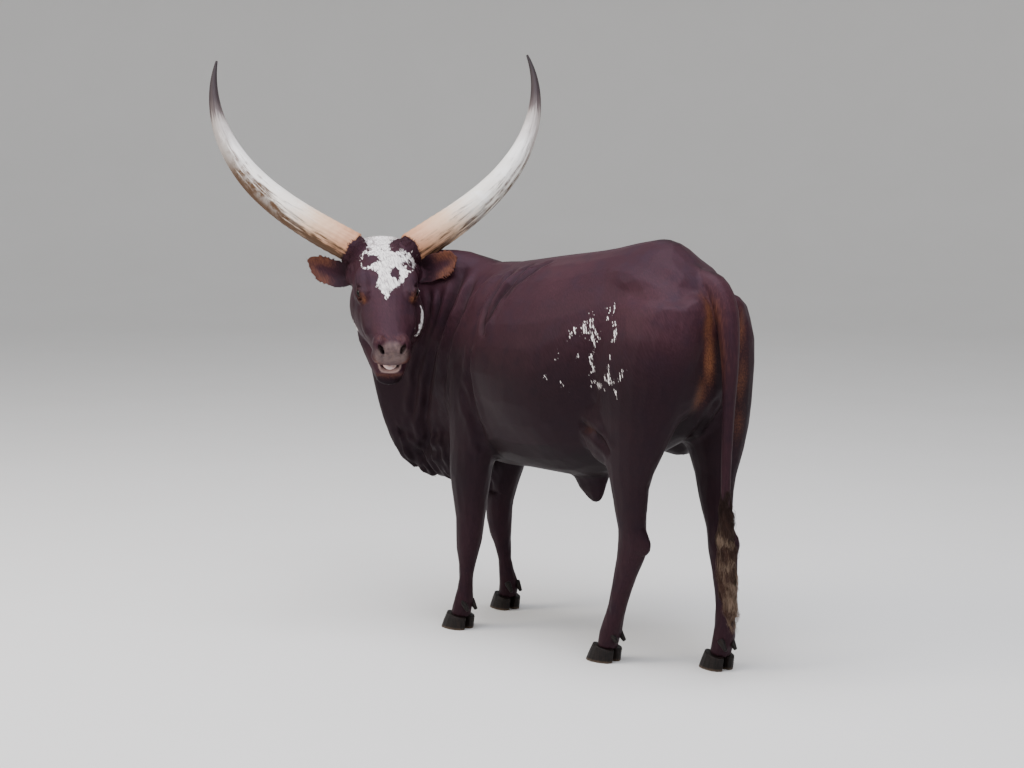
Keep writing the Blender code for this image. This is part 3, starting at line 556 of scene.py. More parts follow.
def shape_lids(points):
    """Opens the lids of both eyes over the eyeballs."""
    for way, centre in EYES.items():
        axes = eye_axes(way)
        local = (points - centre) @ axes.T
        flat = np.hypot(local[:, 0], local[:, 1])
        near = np.where((flat < 0.050) & (local[:, 2] > -0.012) & (local[:, 2] < 0.045))[0]
        u, v, w = local[near].T
        droop = 0.0022 * smooth_step(0.004, 0.017, u)
        v = v - droop
        tall = np.where(v < 0, LID_UPPER, LID_LOWER)
        e = np.sqrt((u / LID_LENGTH) ** 2 + (v / tall) ** 2)
        across = u * u + v * v
        ball = np.sqrt(np.maximum(EYE_RADIUS ** 2 - across, 0))
        lid = np.sqrt(np.maximum((EYE_RADIUS + 0.0032) ** 2 - across, 0.0045 ** 2))
        hollow = ball - 0.0055
        shut = smooth_step(0.86, 1.04, e)
        target = hollow + (lid - hollow) * shut
        grip = 1 - smooth_step(1.35, 2.5, e)
        raised = target * grip + w * (1 - grip)
        upper = v < 0
        raised -= np.where(upper, 0.0012, 0.0008) * bump(e, np.where(upper, 1.75, 1.6), 0.16)
        raised += np.where(upper, 0.0012, 0.0005) * bump(e, np.where(upper, 2.3, 2.1), 0.35)
        raised -= 0.0022 * bump(u, 0.0225, 0.0045) * bump(v, 0.003, 0.0035)
        local[near, 2] = raised
        points[near] = local[near] @ axes + centre
    return points


# Ridges (raised) and grooves (sunk) of the face: height, width, points on the head.
FACE_LINES = (
    (0.0020, 0.0110, ((0.272, 0.098, -0.078), (0.325, 0.090, -0.095), (0.380, 0.080, -0.110))),
    (0.0012, 0.0045, ((0.285, 0.078, -0.034), (0.318, 0.082, -0.055), (0.350, 0.078, -0.080),
                      (0.395, 0.070, -0.090))),
    (0.0010, 0.0035, ((0.310, 0.084, -0.055), (0.345, 0.070, -0.045), (0.390, 0.062, -0.050))),
    (-0.0018, 0.0060, ((0.440, 0.062, -0.060), (0.455, 0.064, -0.095), (0.462, 0.060, -0.125))),
    (0.0015, 0.0060, ((0.448, 0.030, -0.008), (0.462, 0.050, -0.022), (0.470, 0.060, -0.045))),
    (-0.0012, 0.0050, ((0.455, 0.012, -0.006), (0.480, 0.010, -0.022), (0.505, 0.006, -0.050),
                       (0.515, 0.002, -0.085))),
    (-0.0012, 0.0055, ((0.252, 0.060, -0.008), (0.267, 0.072, -0.012), (0.288, 0.080, -0.028))),
)


NOSTRIL_TURN = np.array(
    Matrix.Rotation(radians(-33), 3, "X") @ Matrix.Rotation(radians(-18), 3, "Y"))


def slit_distance(mirrored):
    """How far a point is from the nostril's slit: 1 on its edge. Both sides are given as left."""
    return np.linalg.norm(
        (mirrored - (0.490, 0.036, -0.037)) @ NOSTRIL_TURN / (0.018, 0.0085, 0.020), axis=1)


def face_relief(points):
    """How far the ridges and grooves of the face stand out, the same on both sides."""
    here = from_poll(points)
    relief = np.zeros(len(points))
    near = np.where((here[:, 0] > 0.15) & (np.abs(here[:, 1]) < 0.14) & (here[:, 2] > -0.30))[0]
    place = here[near]
    place[:, 1] = np.abs(place[:, 1])
    for high, wide, line in FACE_LINES:
        away, share = distance_to_line(place, line)
        ends = np.clip(np.minimum(share, 1 - share) * 8 + 0.25, 0, 1)
        relief[near] += high * ends * bump(away, 0, wide)
    nose = slit_distance(place)
    relief[near] += 0.0018 * bump(nose, 1.45, 0.30)
    return relief


def gape(here):
    """The open mouth seen from the front, straight above and bowed below: 1 on its edge."""
    return np.hypot(here[:, 1] / 0.050, np.minimum(here[:, 2] + 0.116, 0) / 0.053)


def shape_lips(points):
    """Fills out the muzzle's sides and opens the mouth down to the lower lip's edge."""
    here = from_poll(points)
    front = smooth_step(0.430, 0.470, here[:, 0]) * (here[:, 2] > -0.24)
    muzzle = front * smooth_step(0.022, 0.045, np.abs(here[:, 1]))
    muzzle = muzzle * bump(here[:, 2], -0.100, 0.060)
    here[:, 1] += np.where(here[:, 1] > 0, 0.0065, -0.0040) * muzzle
    open_here = smooth_step(1.06, 0.86, gape(here)) * front
    open_here = open_here * smooth_step(-0.112, -0.120, here[:, 2]) * (here[:, 0] > 0.455)
    here[:, 0] -= open_here * np.maximum(here[:, 0] - 0.458, 0)
    return here @ HEAD_AXES + np.array(poll)


points = shape_lips(shape_lids(points_of(skin.data)))
place_points(skin.data, points)
points += normals_of(skin.data) * face_relief(points)[:, None]
here = from_poll(points)
saddle = bump(here[:, 0], -0.015, 0.040) * bump(here[:, 1], 0.0, 0.052) * (here[:, 2] > -0.08)
points[:, 2] -= 0.0125 * saddle
place_points(skin.data, points)
print("face shaped,", len(points), "points")

# %% [markdown]
# ## Markings
# The hide is deep mahogany with a white blaze on the forehead, white stripes on the cheeks and
# small roan streaks on the near flank. An image would tie them to one view, so each marking is
# a named outline or line on the body, and every point stores its distance to the nearest edge. The
# material turns that distance into a ragged edge of hairs.

# %% Markings as distances
# The blaze's outline. Two numbers are a pixel, and three are metres on the head from the poll, where
# the outline lies behind the poll or on a side that turns away from the camera.
BLAZE = (
    (-0.072, -0.076, 0), (-0.072, 0.084, 0), (-0.022, 0.062, 0), (393.6, 240), (391.4, 242.1),
    (389.7, 244.3), (391.4, 248.6), (393.6, 251.4), (397.1, 250.7), (402.9, 250.4),
    (408.6, 252.1), (0.066, 0.106, 0), (0.078, 0.114, 0), (0.098, 0.111, 0), (0.130, 0.106, 0),
    (0.148, 0.103, 0), (412.9, 271.4), (407.9, 275), (405.7, 280.7), (402.9, 285),
    (398.6, 288.6), (392.9, 289.3), (390.7, 294.3), (389.3, 299.3), (386.4, 299.6),
    (382.9, 296.4), (380, 292.1), (377.1, 287.9), (374.3, 283.6), (376.4, 280.7),
    (377.9, 276.4), (375.7, 272.1), (371.4, 270), (0.149, -0.068, 0), (363.6, 270),
    (0.136, -0.086, 0), (0.116, -0.088, 0), (0.103, -0.087, 0), (360.7, 256.4), (362.9, 251.4),
    (365, 249.3), (366, 245), (365, 241.4),
)
# Brown spots in the blaze: pixel and radius in metres.
BLAZE_SPOTS = (
    (366.5, 260, 0.0160), (366.5, 263.5, 0.0150), (372, 258, 0.0135), (374, 259.5, 0.0125),
    (395, 271, 0.0130), (395, 274.5, 0.0130), (410, 267, 0.0120), (410, 268, 0.0115),
    (405.5, 263.5, 0.0062), (405.5, 264.5, 0.0055), (399.5, 256.5, 0.0046),
    (401.5, 264.5, 0.0040), (410, 261.5, 0.0055), (368.5, 249, 0.0075), (365.5, 255.5, 0.0065),
    (405, 255, 0.0036), (410.5, 264.5, 0.0040), (388, 258.5, 0.0026), (379.5, 254.5, 0.0026),
    (382.5, 263, 0.0026), (381.5, 250, 0.0026),
)
# White stripes on the cheeks: radius, then points on the head in metres from the poll.
CHEEK_STRIPES = (
    (0.0060, ((0.230, 0.107, -0.026), (0.246, 0.116, -0.050))),
    (0.0095, ((0.248, 0.119, -0.058), (0.262, 0.126, -0.092))),
    (0.0170, ((0.268, 0.126, -0.100), (0.300, 0.120, -0.104), (0.326, 0.112, -0.110))),
    (0.0105, ((0.326, 0.112, -0.110), (0.352, 0.102, -0.126))),
    (0.0035, ((0.378, 0.088, -0.060), (0.391, 0.084, -0.071))),
    (0.0050, ((0.258, -0.117, -0.146), (0.267, -0.112, -0.163))),
    (0.0085, ((0.267, -0.112, -0.163), (0.282, -0.105, -0.168), (0.308, -0.100, -0.154))),
)
# Roan streaks on the near side: radius in metres, then the pixels that each runs through.
ROAN = (
    (0.0060, ((590.5, 313), (591, 322))), (0.0110, ((591, 322), (592, 330))),
    (0.0125, ((592, 330), (593, 337))), (0.0080, ((593, 337), (595, 343))),
    (0.0062, ((594, 344), (592.5, 352), (591, 360), (592, 367))),
    (0.0055, ((592, 367), (593, 372))), (0.0100, ((584, 324), (584.5, 332))),
    (0.0060, ((584.5, 332), (585, 339))), (0.0052, ((609, 308), (607, 319))),
    (0.0045, ((614.5, 306.5), (613, 314.5))), (0.0070, ((614.5, 324), (615, 328))),
    (0.0110, ((616, 331), (614.5, 338))), (0.0080, ((614.5, 338), (612, 341))),
    (0.0045, ((556.5, 345), (556, 351.5))), (0.0070, ((556, 352.5), (557.5, 358))),
    (0.0048, ((609.5, 355), (609.5, 360))), (0.0062, ((609, 366), (608, 377))),
    (0.0070, ((623, 371), (620, 379))), (0.0070, ((604, 375.5), (607, 380))),
    (0.0095, ((607, 380), (611, 384))), (0.0085, ((613.5, 379.5), (612.5, 387.5))),
    (0.0080, ((612.5, 387.5), (616, 394))), (0.0062, ((595, 382), (599, 387))),
    (0.0070, ((600, 386), (603, 389))), (0.0050, ((591.5, 376), (593, 384))),
    (0.0046, ((545, 376), (546, 381))), (0.0052, ((555, 374), (560, 381))),
    (0.0045, ((560, 381), (563, 387))), (0.0045, ((569, 393), (572, 395))),
    (0.0046, ((576, 326.5), (575.5, 334))), (0.0040, ((571.5, 331.5), (570, 337))),
    (0.0040, ((577.5, 356), (578, 361.5))), (0.0040, ((598, 332.5), (598, 339))),
)
# Single flecks on the neck and shoulder, in the same way.
NECK_FLECKS = (
    (0.0030, ((446.5, 286.5), (446, 291))),
    (0.0052, ((447.5, 297), (447.2, 299))),
    (0.0026, ((474, 359), (476, 365))),
)
BLAZE_EDGE = placed(BLAZE, from_poll)[:, :2]
SPOT_PLACES = [(*placed([(x, y)], from_poll)[0, :2], radius) for x, y, radius in BLAZE_SPOTS]
ROAN_LINES = [(radius, placed(line, from_withers)[:, [0, 2]]) for radius, line in ROAN]
FLECK_LINES = [(radius, placed(line, from_withers)) for radius, line in NECK_FLECKS]


def inside_outline(place, outline):
    """Distance to a closed outline in its plane, positive inside it."""
    corners = np.array(outline)
    following = np.roll(corners, -1, axis=0)
    best = np.full(len(place), 9.0)
    inside = np.zeros(len(place), bool)
    for start, end in zip(corners, following):
        run = end - start
        share = np.clip((place - start) @ run / (run @ run), 0, 1)
        best = np.minimum(best, np.linalg.norm(place - start - share[:, None] * run, axis=1))
        crosses = (start[1] > place[:, 1]) != (end[1] > place[:, 1])
        rise = (end[1] - start[1]) or 1e-9
        inside ^= crosses & (place[:, 0] < (place[:, 1] - start[1]) / rise * run[0] + start[0])
    return np.where(inside, best, -best)


def white_distance(points):
    """Metres inside the white markings; outside them it is negative."""
    head = from_poll(points)
    body = from_withers(points)
    white = np.full(len(points), -0.05)
    face = np.where((head[:, 0] < 0.34) & (head[:, 2] > -0.075) & (np.abs(head[:, 1]) < 0.13)
                    & (head[:, 2] < 0.08) & (head[:, 0] > -0.08))[0]
    if len(face):
        place = head[face]
        blaze = inside_outline(place[:, :2], BLAZE_EDGE)
        for a, s, radius in SPOT_PLACES:
            blaze = np.minimum(blaze, np.hypot(place[:, 0] - a, place[:, 1] - s) - radius)
        white[face] = np.maximum(white[face], blaze)
    cheeks = np.where((head[:, 0] > 0.18) & (head[:, 0] < 0.38) & (np.abs(head[:, 1]) < 0.16)
                      & (head[:, 2] > -0.22))[0]
    for radius, line in CHEEK_STRIPES:
        away, _ = distance_to_line(head[cheeks], line)
        white[cheeks] = np.maximum(white[cheeks], radius - away)
    side = np.where((body[:, 1] > 0.12) & (body[:, 0] > -0.5) & (body[:, 0] < 0.0)
                    & (body[:, 2] > 0.85) & (body[:, 2] < 1.25))[0]
    for radius, line in ROAN_LINES:
        away, _ = distance_to_line(body[side][:, [0, 2]], line)
        white[side] = np.maximum(white[side], (radius - away) * 0.45 + 0.0012)
    for radius, line in FLECK_LINES:
        away, _ = distance_to_line(body, line)
        white = np.maximum(white, radius - away)
    return white


# Tan hair as soft patches: strength, radii and centre, on the head (both sides).
HEAD_TAN = (
    (0.42, (0.024, 0.020, 0.024), (0.262, 0.093, -0.028)),
    (0.62, (0.015, 0.012, 0.016), (0.274, 0.085, -0.026)),
    (0.28, (0.020, 0.014, 0.018), (0.232, 0.100, -0.030)),
    (0.30, (0.022, 0.050, 0.022), (0.462, 0.030, -0.004)),
    (0.45, (0.030, 0.034, 0.024), (0.500, 0.040, -0.088)),
    (0.30, (0.040, 0.035, 0.040), (0.450, 0.070, -0.120)),
    (0.38, (0.030, 0.045, 0.012), (0.490, 0.020, -0.184)),
)
# The same from the withers, where each side has its own.
BODY_TAN = (
    (0.60, (0.06, 0.030, 0.09), (-0.600, 0.062, 1.170)),
    (0.66, (0.06, 0.026, 0.10), (-0.596, 0.050, 1.050)),
    (0.45, (0.06, 0.030, 0.07), (-0.580, 0.072, 0.930)),
    (0.46, (0.05, 0.024, 0.09), (-0.606, -0.088, 1.130)),
    (0.40, (0.05, 0.026, 0.10), (-0.600, -0.104, 0.970)),
    (0.30, (0.05, 0.030, 0.08), (-0.585, -0.112, 0.820)),
    (0.22, (0.04, 0.05, 0.022), (-0.230, 0.232, 0.800)),
)


def soft_patches(place, patches):
    amount = np.zeros(len(place))
    for strength, radii, centre in patches:
        away = np.linalg.norm((place - np.array(centre)) / radii, axis=1)
        amount = np.maximum(amount, strength * np.exp(-away ** 2))
    return amount


# Each ear's lift, how far it points back, its bend up to the tip, and how low its root lies.
EAR_STANCE = {1: (0.24, -0.55, 0.018, 0.002), -1: (0.00, 0.40, 0.054, 0.013)}
EAR_LENGTH = 0.200
EAR_ROOTS = {way: np.array(on_head(0.086, 0.116 * way, -0.092) - SKY * EAR_STANCE[way][3])
             for way in (1, -1)}


def ear_axes(way):
    """The way an ear points, the way its cup opens, and the way across it."""
    lift, back, _, _ = EAR_STANCE[way]
    ahead = (left * way * 0.86 + SKY * lift - level * back).normalized()
    opens = (level - ahead * level.dot(ahead) + SKY * 0.25).normalized()
    return np.array(ahead), np.array(opens), np.array(ahead.cross(opens).normalized())


def on_ear(points, way):
    """Places on an ear: share of its length, and metres across it from the middle line."""
    ahead, _, across = ear_axes(way)
    local = points - EAR_ROOTS[way]
    reach = local @ ahead
    share = np.clip((reach + 0.02) / EAR_LENGTH, 0, 1)
    bent = local - np.array(SKY) * (EAR_STANCE[way][2] * share ** 2)[:, None]
    return share, bent @ across


def coat_colours(points, normals, part):
    """The marking amounts: white, tan, dark with painted shade, muzzle, nostril and mouth shade, pink,
    limb.
    """
    head = from_poll(points)
    mirrored = head.copy()
    mirrored[:, 1] = np.abs(mirrored[:, 1])
    body = from_withers(points)
    on_the_head = part == IS_HEAD
    tan = np.where(on_the_head, soft_patches(mirrored, HEAD_TAN), soft_patches(body, BODY_TAN))
    for way, number in EAR_SIDES:
        _, opens, _ = ear_axes(way)
        share, aside = on_ear(points, way)
        inner = smooth_step(0.0, 0.5, normals @ opens) * smooth_step(0.30, 0.62, share)
        middle_shade = 0.50 * bump(aside, 0.0, 0.016) * smooth_step(0.95, 0.55, share)
        rim = 0.10 * smooth_step(0.35, 0.60, share)
        tan = np.where(part == number, np.maximum(inner * (0.46 - middle_shade), rim), tan)
    # Low on the neck and brisket the hair itself is nearly black.
    low = smooth_step(1.00, 0.60, body[:, 2]) * smooth_step(-0.1, 0.45, body[:, 0])
    # Painted shade: nearly black under the belly, where the skin faces down.
    belly = smooth_step(0.0, -0.75, normals[:, 2]) * smooth_step(0.35, 0.5, body[:, 2])
    dark = np.maximum(low * 0.95, belly)
    # Painted shade: the coat darkens down the body below 1.24 m.
    dark = np.maximum(dark, 0.82 * smooth_step(1.24, 0.90, body[:, 2]))
    dark = dark * (1 - 0.30 * smooth_step(0.60, 0.30, body[:, 2]))
    # Painted shade in the valleys of the folds.
    dark = np.maximum(dark, 0.75 * fold_shade(points))
    dark = np.where(part == IS_TAIL, 0.6 * dark, dark)
    # Under the jaw the hair is dark, deepened by painted shade.
    chin = 0.95 * smooth_step(-0.178, -0.205, head[:, 2])
    jaw = 0.40 * smooth_step(0.045, 0.090, mirrored[:, 1]) * smooth_step(0.14, 0.24, head[:, 0])
    dark = np.where(on_the_head, np.maximum(chin, jaw), dark)
    for way, number in EAR_SIDES:
        edge = 0.8 * smooth_step(0.40, 0.10, np.abs(normals @ ear_axes(way)[1]))
        near_root = 0.6 * smooth_step(0.60, 0.25, on_ear(points, way)[0])
        dark = np.where(part == number, np.maximum(edge, near_root), dark)
    spine = bump(body[:, 1], 0.0, 0.020) * smooth_step(0.75, 0.95, normals[:, 2])
    dark = np.maximum(dark, 0.6 * spine * (body[:, 2] > 1.2) * (part != IS_HEAD))
    pad_shape = np.linalg.norm(
        (mirrored - (0.510, 0.0, -0.058)) / (0.060, 0.058, 0.046), axis=1)
    pad = np.where(on_the_head, smooth_step(1.20, 0.84, pad_shape), 0)
    pad = pad * smooth_step(0.440, 0.462, head[:, 0])
    # Painted shade, near black, in the nostrils and inside the open mouth.
    nostril = np.where(on_the_head, smooth_step(1.12, 0.88, slit_distance(mirrored)), 0)
    mouth = gape(mirrored)
    front = on_the_head * (head[:, 0] > 0.40) * smooth_step(-0.114, -0.120, head[:, 2])
    pink = front * smooth_step(1.13, 1.08, mouth) * smooth_step(0.94, 1.00, mouth)
    nostril = np.maximum(nostril, front * smooth_step(1.00, 0.95, mouth))
    limb = np.isin(part, IS_LEG + (IS_TAIL,)).astype(float)
    return {
        "white": white_distance(points), "tan": tan, "dark": dark, "pad": pad,
        "nostril": nostril, "pink": pink, "limb": limb,
    }


# %% [markdown]
# ## Thin the skin's faces
# The remesh gives far more faces than flat flesh needs. The Decimate modifier collapses those
# that change the shape least, so small faces stay at the eyes, ears and folds. Where a marking
# has its edge, the faces are then halved again, because there they carry the colour.

# %% Decimate
SKIN_TRIANGLES = 162000
MARKING_EDGE = 0.009


def triangles_in(mesh):
    return sum(len(face.vertices) - 2 for face in mesh.polygons)


thin = skin.modifiers.new("thin", "DECIMATE")
thin.ratio = SKIN_TRIANGLES / triangles_in(skin.data)
baked(skin)
points = points_of(skin.data)
edge_near = np.abs(white_distance(points)) < MARKING_EDGE
bm = bmesh.new()
bm.from_mesh(skin.data)
bm.edges.ensure_lookup_table()
picked = np.where(edge_near[edges_of(skin.data)].all(axis=1))[0]
bmesh.ops.subdivide_edges(bm, edges=[bm.edges[number] for number in picked], cuts=1)
bmesh.ops.triangulate(bm, faces=bm.faces)
bm.to_mesh(skin.data)
bm.free()
for face in skin.data.polygons:
    face.use_smooth = True
points = points_of(skin.data)
skin_part = parts_at(points)
for way, number in EAR_SIDES:
    chosen = np.where(skin_part == number)[0]
    ahead, _, across = ear_axes(way)
    share, aside = on_ear(points[chosen], way)
    wider = 0.50 * smooth_step(0.55, 0.95, share) * aside
    shorter = 0.35 * EAR_LENGTH * np.maximum(share - 0.86, 0)
    points[chosen] += across * wider[:, None] - ahead * shorter[:, None]
place_points(skin.data, points)
print("skin triangles", triangles_in(skin.data))
print("points in each part", dict(zip(FLESH, np.bincount(skin_part, minlength=len(FLESH)))))

# %% [markdown]
# ## Store the markings on the skin
# Attributes are named numbers kept on every point. The material reads them by name.

# %% Write the attributes
def add_numbers(mesh, values):
    for name, amounts in values.items():
        attribute = mesh.attributes.new(name, "FLOAT", "POINT")
        attribute.data.foreach_set("value", np.asarray(amounts, dtype=np.float32))


skin_normals = normals_of(skin.data)
add_numbers(skin.data, coat_colours(points, skin_normals, skin_part))
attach(skin, "root")
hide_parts(*FLESH)

# %% [markdown]
# ## Materials
# Blender keeps colours as linear light, while a colour picker gives sRGB hex values, so one
# function turns hex into linear. Another adds a node with its settings and its links in one line,
# which keeps long materials short to read.

# %% Colour and node helpers
def linear(code):
    """An sRGB hex colour as linear red, green, blue and alpha."""
    parts = [int(code[k:k + 2], 16) / 255 for k in (1, 3, 5)]
    return tuple(p / 12.92 if p <= 0.04045 else ((p + 0.055) / 1.055) ** 2.4 for p in parts) + (1,)


def new_material(name):
    """A material with only its Principled shader and output."""
    made = bpy.data.materials.new(name)
    made.use_nodes = True
    tree = made.node_tree
    return made, tree, tree.nodes["Principled BSDF"]


def add(tree, kind, inputs=None, out=0, **settings):
    """Adds a shader node and gives one of its outputs. An input is a value or another output."""
    node = tree.nodes.new("ShaderNode" + kind)
    for name, value in settings.items():
        setattr(node, name, value)
    for name, value in (inputs or {}).items():
        if isinstance(value, bpy.types.NodeSocket):
            tree.links.new(value, node.inputs[name])
        else:
            node.inputs[name].default_value = value
    return node.outputs[out]


# Settings that many nodes share: a smooth step between two values, and a mix of two colours.
STEP = {"interpolation_type": "SMOOTHSTEP"}
COLOURS = {"out": 2, "data_type": "RGBA"}


# %% [markdown]
# ## Short cattle coat
# Cattle hair is 10 to 20 mm long, 0.05 mm thick, and lies flat, so that light slides along it: a
# soft silky gloss, with a faint sheen at grazing angles. Single hairs are too fine to show, so the
# noise is drawn as clumps 4 mm wide and 30 mm long that run back and down the body. The base is
# mahogany, nearly black low on the neck, with painted shade that darkens the lower body, the belly,
# the fold valleys, the underside of the jaw, the nostrils and the open mouth, and the attributes
# lay tan and white hair over it.

# %% Coat material
COAT_BROWN = "#321b22"
COAT_DEEP = "#11090b"
COAT_RED = "#3a2127"
COAT_PLUM = "#2f1c25"
COAT_TAN = "#7b4d31"
COAT_WHITE = "#ebe6e2"
COAT_ASH = "#b4a9a8"


def coat_base(tree, fine):
    """The coat's colour from the attributes; fine is the noise of the hair's clumps."""
    place = add(tree, "TexCoord", out="Object")
    broad = add(tree, "TexNoise", {"Vector": place, "Scale": 3.2, "Detail": 3.0})
    patches = add(tree, "TexNoise", {"Vector": place, "Scale": 17.0, "Detail": 4.0})
    red = add(tree, "MapRange", {"Value": broad, "From Min": 0.42, "From Max": 0.66}, **STEP)
    limb = add(tree, "Attribute", out="Fac", attribute_name="limb")
    red = add(tree, "Math", {0: red, 1: limb}, operation="MAXIMUM")
    colour = add(tree, "Mix", {0: red, 6: linear(COAT_BROWN), 7: linear(COAT_RED)}, **COLOURS)
    plum = add(tree, "MapRange", {"Value": patches, "From Min": 0.45, "From Max": 0.75}, **STEP)
    colour = add(tree, "Mix", {0: plum, 6: colour, 7: linear(COAT_PLUM)}, **COLOURS)
    # Dark hair low on the neck, with painted shade on the lower body, belly, fold valleys and under the
    # jaw.
    dark = add(tree, "Attribute", out="Fac", attribute_name="dark")
    colour = add(tree, "Mix", {0: dark, 6: colour, 7: linear(COAT_DEEP)}, **COLOURS)
    worn = add(tree, "Math", {0: fine, 1: 0.4, 2: -0.2}, operation="MULTIPLY_ADD")
    tan = add(tree, "Attribute", out="Fac", attribute_name="tan")
    tan = add(tree, "Math", {0: tan, 1: worn}, operation="ADD")
    tan = add(tree, "MapRange", {"Value": tan, "From Min": 0.05, "From Max": 1.0}, **STEP)
    colour = add(tree, "Mix", {0: tan, 6: colour, 7: linear(COAT_TAN)}, **COLOURS)
    steep = add(tree, "Mapping", {"Vector": place, "Rotation": (0, radians(76), 0)})
    steep = add(tree, "Mapping", {"Vector": steep, "Scale": (26, 170, 170)})
    streak = add(tree, "TexNoise", {"Vector": steep, "Scale": 1.0, "Detail": 2.0})
    speckle = add(tree, "TexNoise", {"Vector": place, "Scale": 150.0, "Detail": 2.0})
    ragged = add(tree, "Math", {0: fine, 1: 0.012, 2: -0.0235}, operation="MULTIPLY_ADD")
    ragged = add(tree, "Math", {0: streak, 1: 0.026, 2: ragged}, operation="MULTIPLY_ADD")
    ragged = add(tree, "Math", {0: speckle, 1: 0.008, 2: ragged}, operation="MULTIPLY_ADD")
    edge = add(tree, "Attribute", out="Fac", attribute_name="white")
    edge = add(tree, "Math", {0: edge, 1: ragged}, operation="ADD")
    white = add(tree, "MapRange", {"Value": edge, "From Min": 0.003, "From Max": 0.0056}, **STEP)
    thin = add(tree, "MapRange", {"Value": fine, "From Min": 0.30, "From Max": 0.56}, **STEP)
    pale = add(tree, "Mix", {0: thin, 6: linear(COAT_ASH), 7: linear(COAT_WHITE)}, **COLOURS)
    colour = add(tree, "Mix", {0: white, 6: colour, 7: pale}, **COLOURS)
    return colour, white


def coat_noise(tree):
    """Noise in clumps that lie back and down on the body, and straight down on the limbs."""
    place = add(tree, "TexCoord", out="Object")
    turned = add(tree, "Mapping", {"Vector": place, "Rotation": (0, radians(55), 0)})
    lengths = add(tree, "Mapping", {"Vector": turned, "Scale": (34, 250, 250)})
    body = add(tree, "TexNoise", {"Vector": lengths, "Scale": 1.0, "Detail": 2.0})
    lengths = add(tree, "Mapping", {"Vector": place, "Scale": (250, 250, 34)})
    limb = add(tree, "TexNoise", {"Vector": lengths, "Scale": 1.0, "Detail": 2.0})
    share = add(tree, "Attribute", out="Fac", attribute_name="limb")
    return add(tree, "Mix", {0: share, 2: body, 3: limb}, data_type="FLOAT")


coat, tree, shader = new_material("short_cattle_coat")
fine = coat_noise(tree)
colour, white = coat_base(tree, fine)
shade = add(tree, "Math", {0: fine, 1: 1.0, 2: 0.50}, operation="MULTIPLY_ADD")
hair_tone = add(tree, "Mix", {0: 1.0, 6: colour, 7: shade}, blend_type="MULTIPLY", **COLOURS)
pad = add(tree, "Attribute", out="Fac", attribute_name="pad")
pink = add(tree, "Attribute", out="Fac", attribute_name="pink")
nostril = add(tree, "Attribute", out="Fac", attribute_name="nostril")
place = add(tree, "TexCoord", out="Object")
cells = add(tree, "TexVoronoi", {"Vector": place, "Scale": 330.0}, feature="DISTANCE_TO_EDGE")
mottled = add(tree, "TexNoise", {"Vector": place, "Scale": 60.0, "Detail": 3.0})
mottled = add(tree, "MapRange", {"Value": mottled, "From Min": 0.35, "From Max": 0.70}, **STEP)
bare = add(tree, "Mix", {0: mottled, 6: linear("#5a4a48"), 7: linear("#6d5a56")}, **COLOURS)
hair_tone = add(tree, "Mix", {0: pad, 6: hair_tone, 7: bare}, **COLOURS)
hair_tone = add(tree, "Mix", {0: pink, 6: hair_tone, 7: linear("#a08680")}, **COLOURS)
# Painted shade in the nostrils and the open mouth.
hair_tone = add(tree, "Mix", {0: nostril, 6: hair_tone, 7: linear("#170e0e")}, **COLOURS)
tree.links.new(hair_tone, shader.inputs["Base Color"])
rough = add(tree, "Math", {0: fine, 1: 0.16, 2: 0.46}, operation="MULTIPLY_ADD")
rough = add(tree, "Math", {0: white, 1: 0.12, 2: rough}, operation="MULTIPLY_ADD")
rough = add(tree, "Math", {0: pad, 1: -0.24, 2: rough}, operation="MULTIPLY_ADD")
tree.links.new(rough, shader.inputs["Roughness"])
# Light that slides along dark red hair picks up its colour, so the gloss is tinted.
GLOSS_TINT = linear("#eed8ee")
SHEEN_TINT = linear("#d2b2b4")
shader.inputs["IOR"].default_value = 1.55
shader.inputs["Specular IOR Level"].default_value = 0.125
shader.inputs["Specular Tint"].default_value = GLOSS_TINT
shader.inputs["Sheen Weight"].default_value = 0.03
shader.inputs["Sheen Roughness"].default_value = 0.42
shader.inputs["Sheen Tint"].default_value = SHEEN_TINT
flat_pad = add(tree, "Math", {0: pad, 1: -0.9, 2: 1.0}, operation="MULTIPLY_ADD")
hair_high = add(tree, "Math", {0: fine, 1: flat_pad}, operation="MULTIPLY")
pebble = add(tree, "MapRange", {"Value": cells, "From Min": 0.0, "From Max": 0.25}, **STEP)
pebble = add(tree, "Math", {0: pebble, 1: pad}, operation="MULTIPLY")
height = add(tree, "Math", {0: pebble, 1: 0.8, 2: hair_high}, operation="MULTIPLY_ADD")
raised = add(tree, "Bump", {"Strength": 0.35, "Distance": 0.0012, "Height": height})
tree.links.new(raised, shader.inputs["Normal"])


def dress(thing, *materials):
    thing.data.materials.clear()
    for material in materials:
        thing.data.materials.append(material)


dress(skin, coat)
print("coat nodes", len(tree.nodes))

# %% [markdown]
# ## Horns
# Horn grows at its root, so it carries rings there, and along its length it splits into fine
# strips. Each horn is a grid of faces rolled into a tube: its points are placed along the horn's
# curve, and grooves and rings are lifted out of the surface as they are placed.

# %% Roll the horns
HORN_OUT = 0.104
HORN_AHEAD = -0.034
HORN_RINGS = 220
HORN_SIDES = 84
# Lengths in metres and angles in degrees. Height is that of the root's middle over the poll, thick
# its radius, full how long the horn stays thick. It rises and sweeps back by the first angle at the
# root and by as much more as the second says, the later the higher late is. Underside streaks says
# how strongly brown streaks lie along the underside and chalky patches keep to the top, and wear is
# brown patches round the middle.
HORNS = {
    1: dict(height=-0.0466, length=1.030, thick=0.0599, full=1.86, rise=(30.1, 82.7), late=2.17,
            sweep=(15.9, 11.4), underside_streaks=0.70, wear=0.0),
    -1: dict(height=-0.0412, length=0.9965, thick=0.0568, full=2.19, rise=(27.8, 76.8), late=1.83,
             sweep=(13.5, 18.4), underside_streaks=1.20, wear=0.55),
}


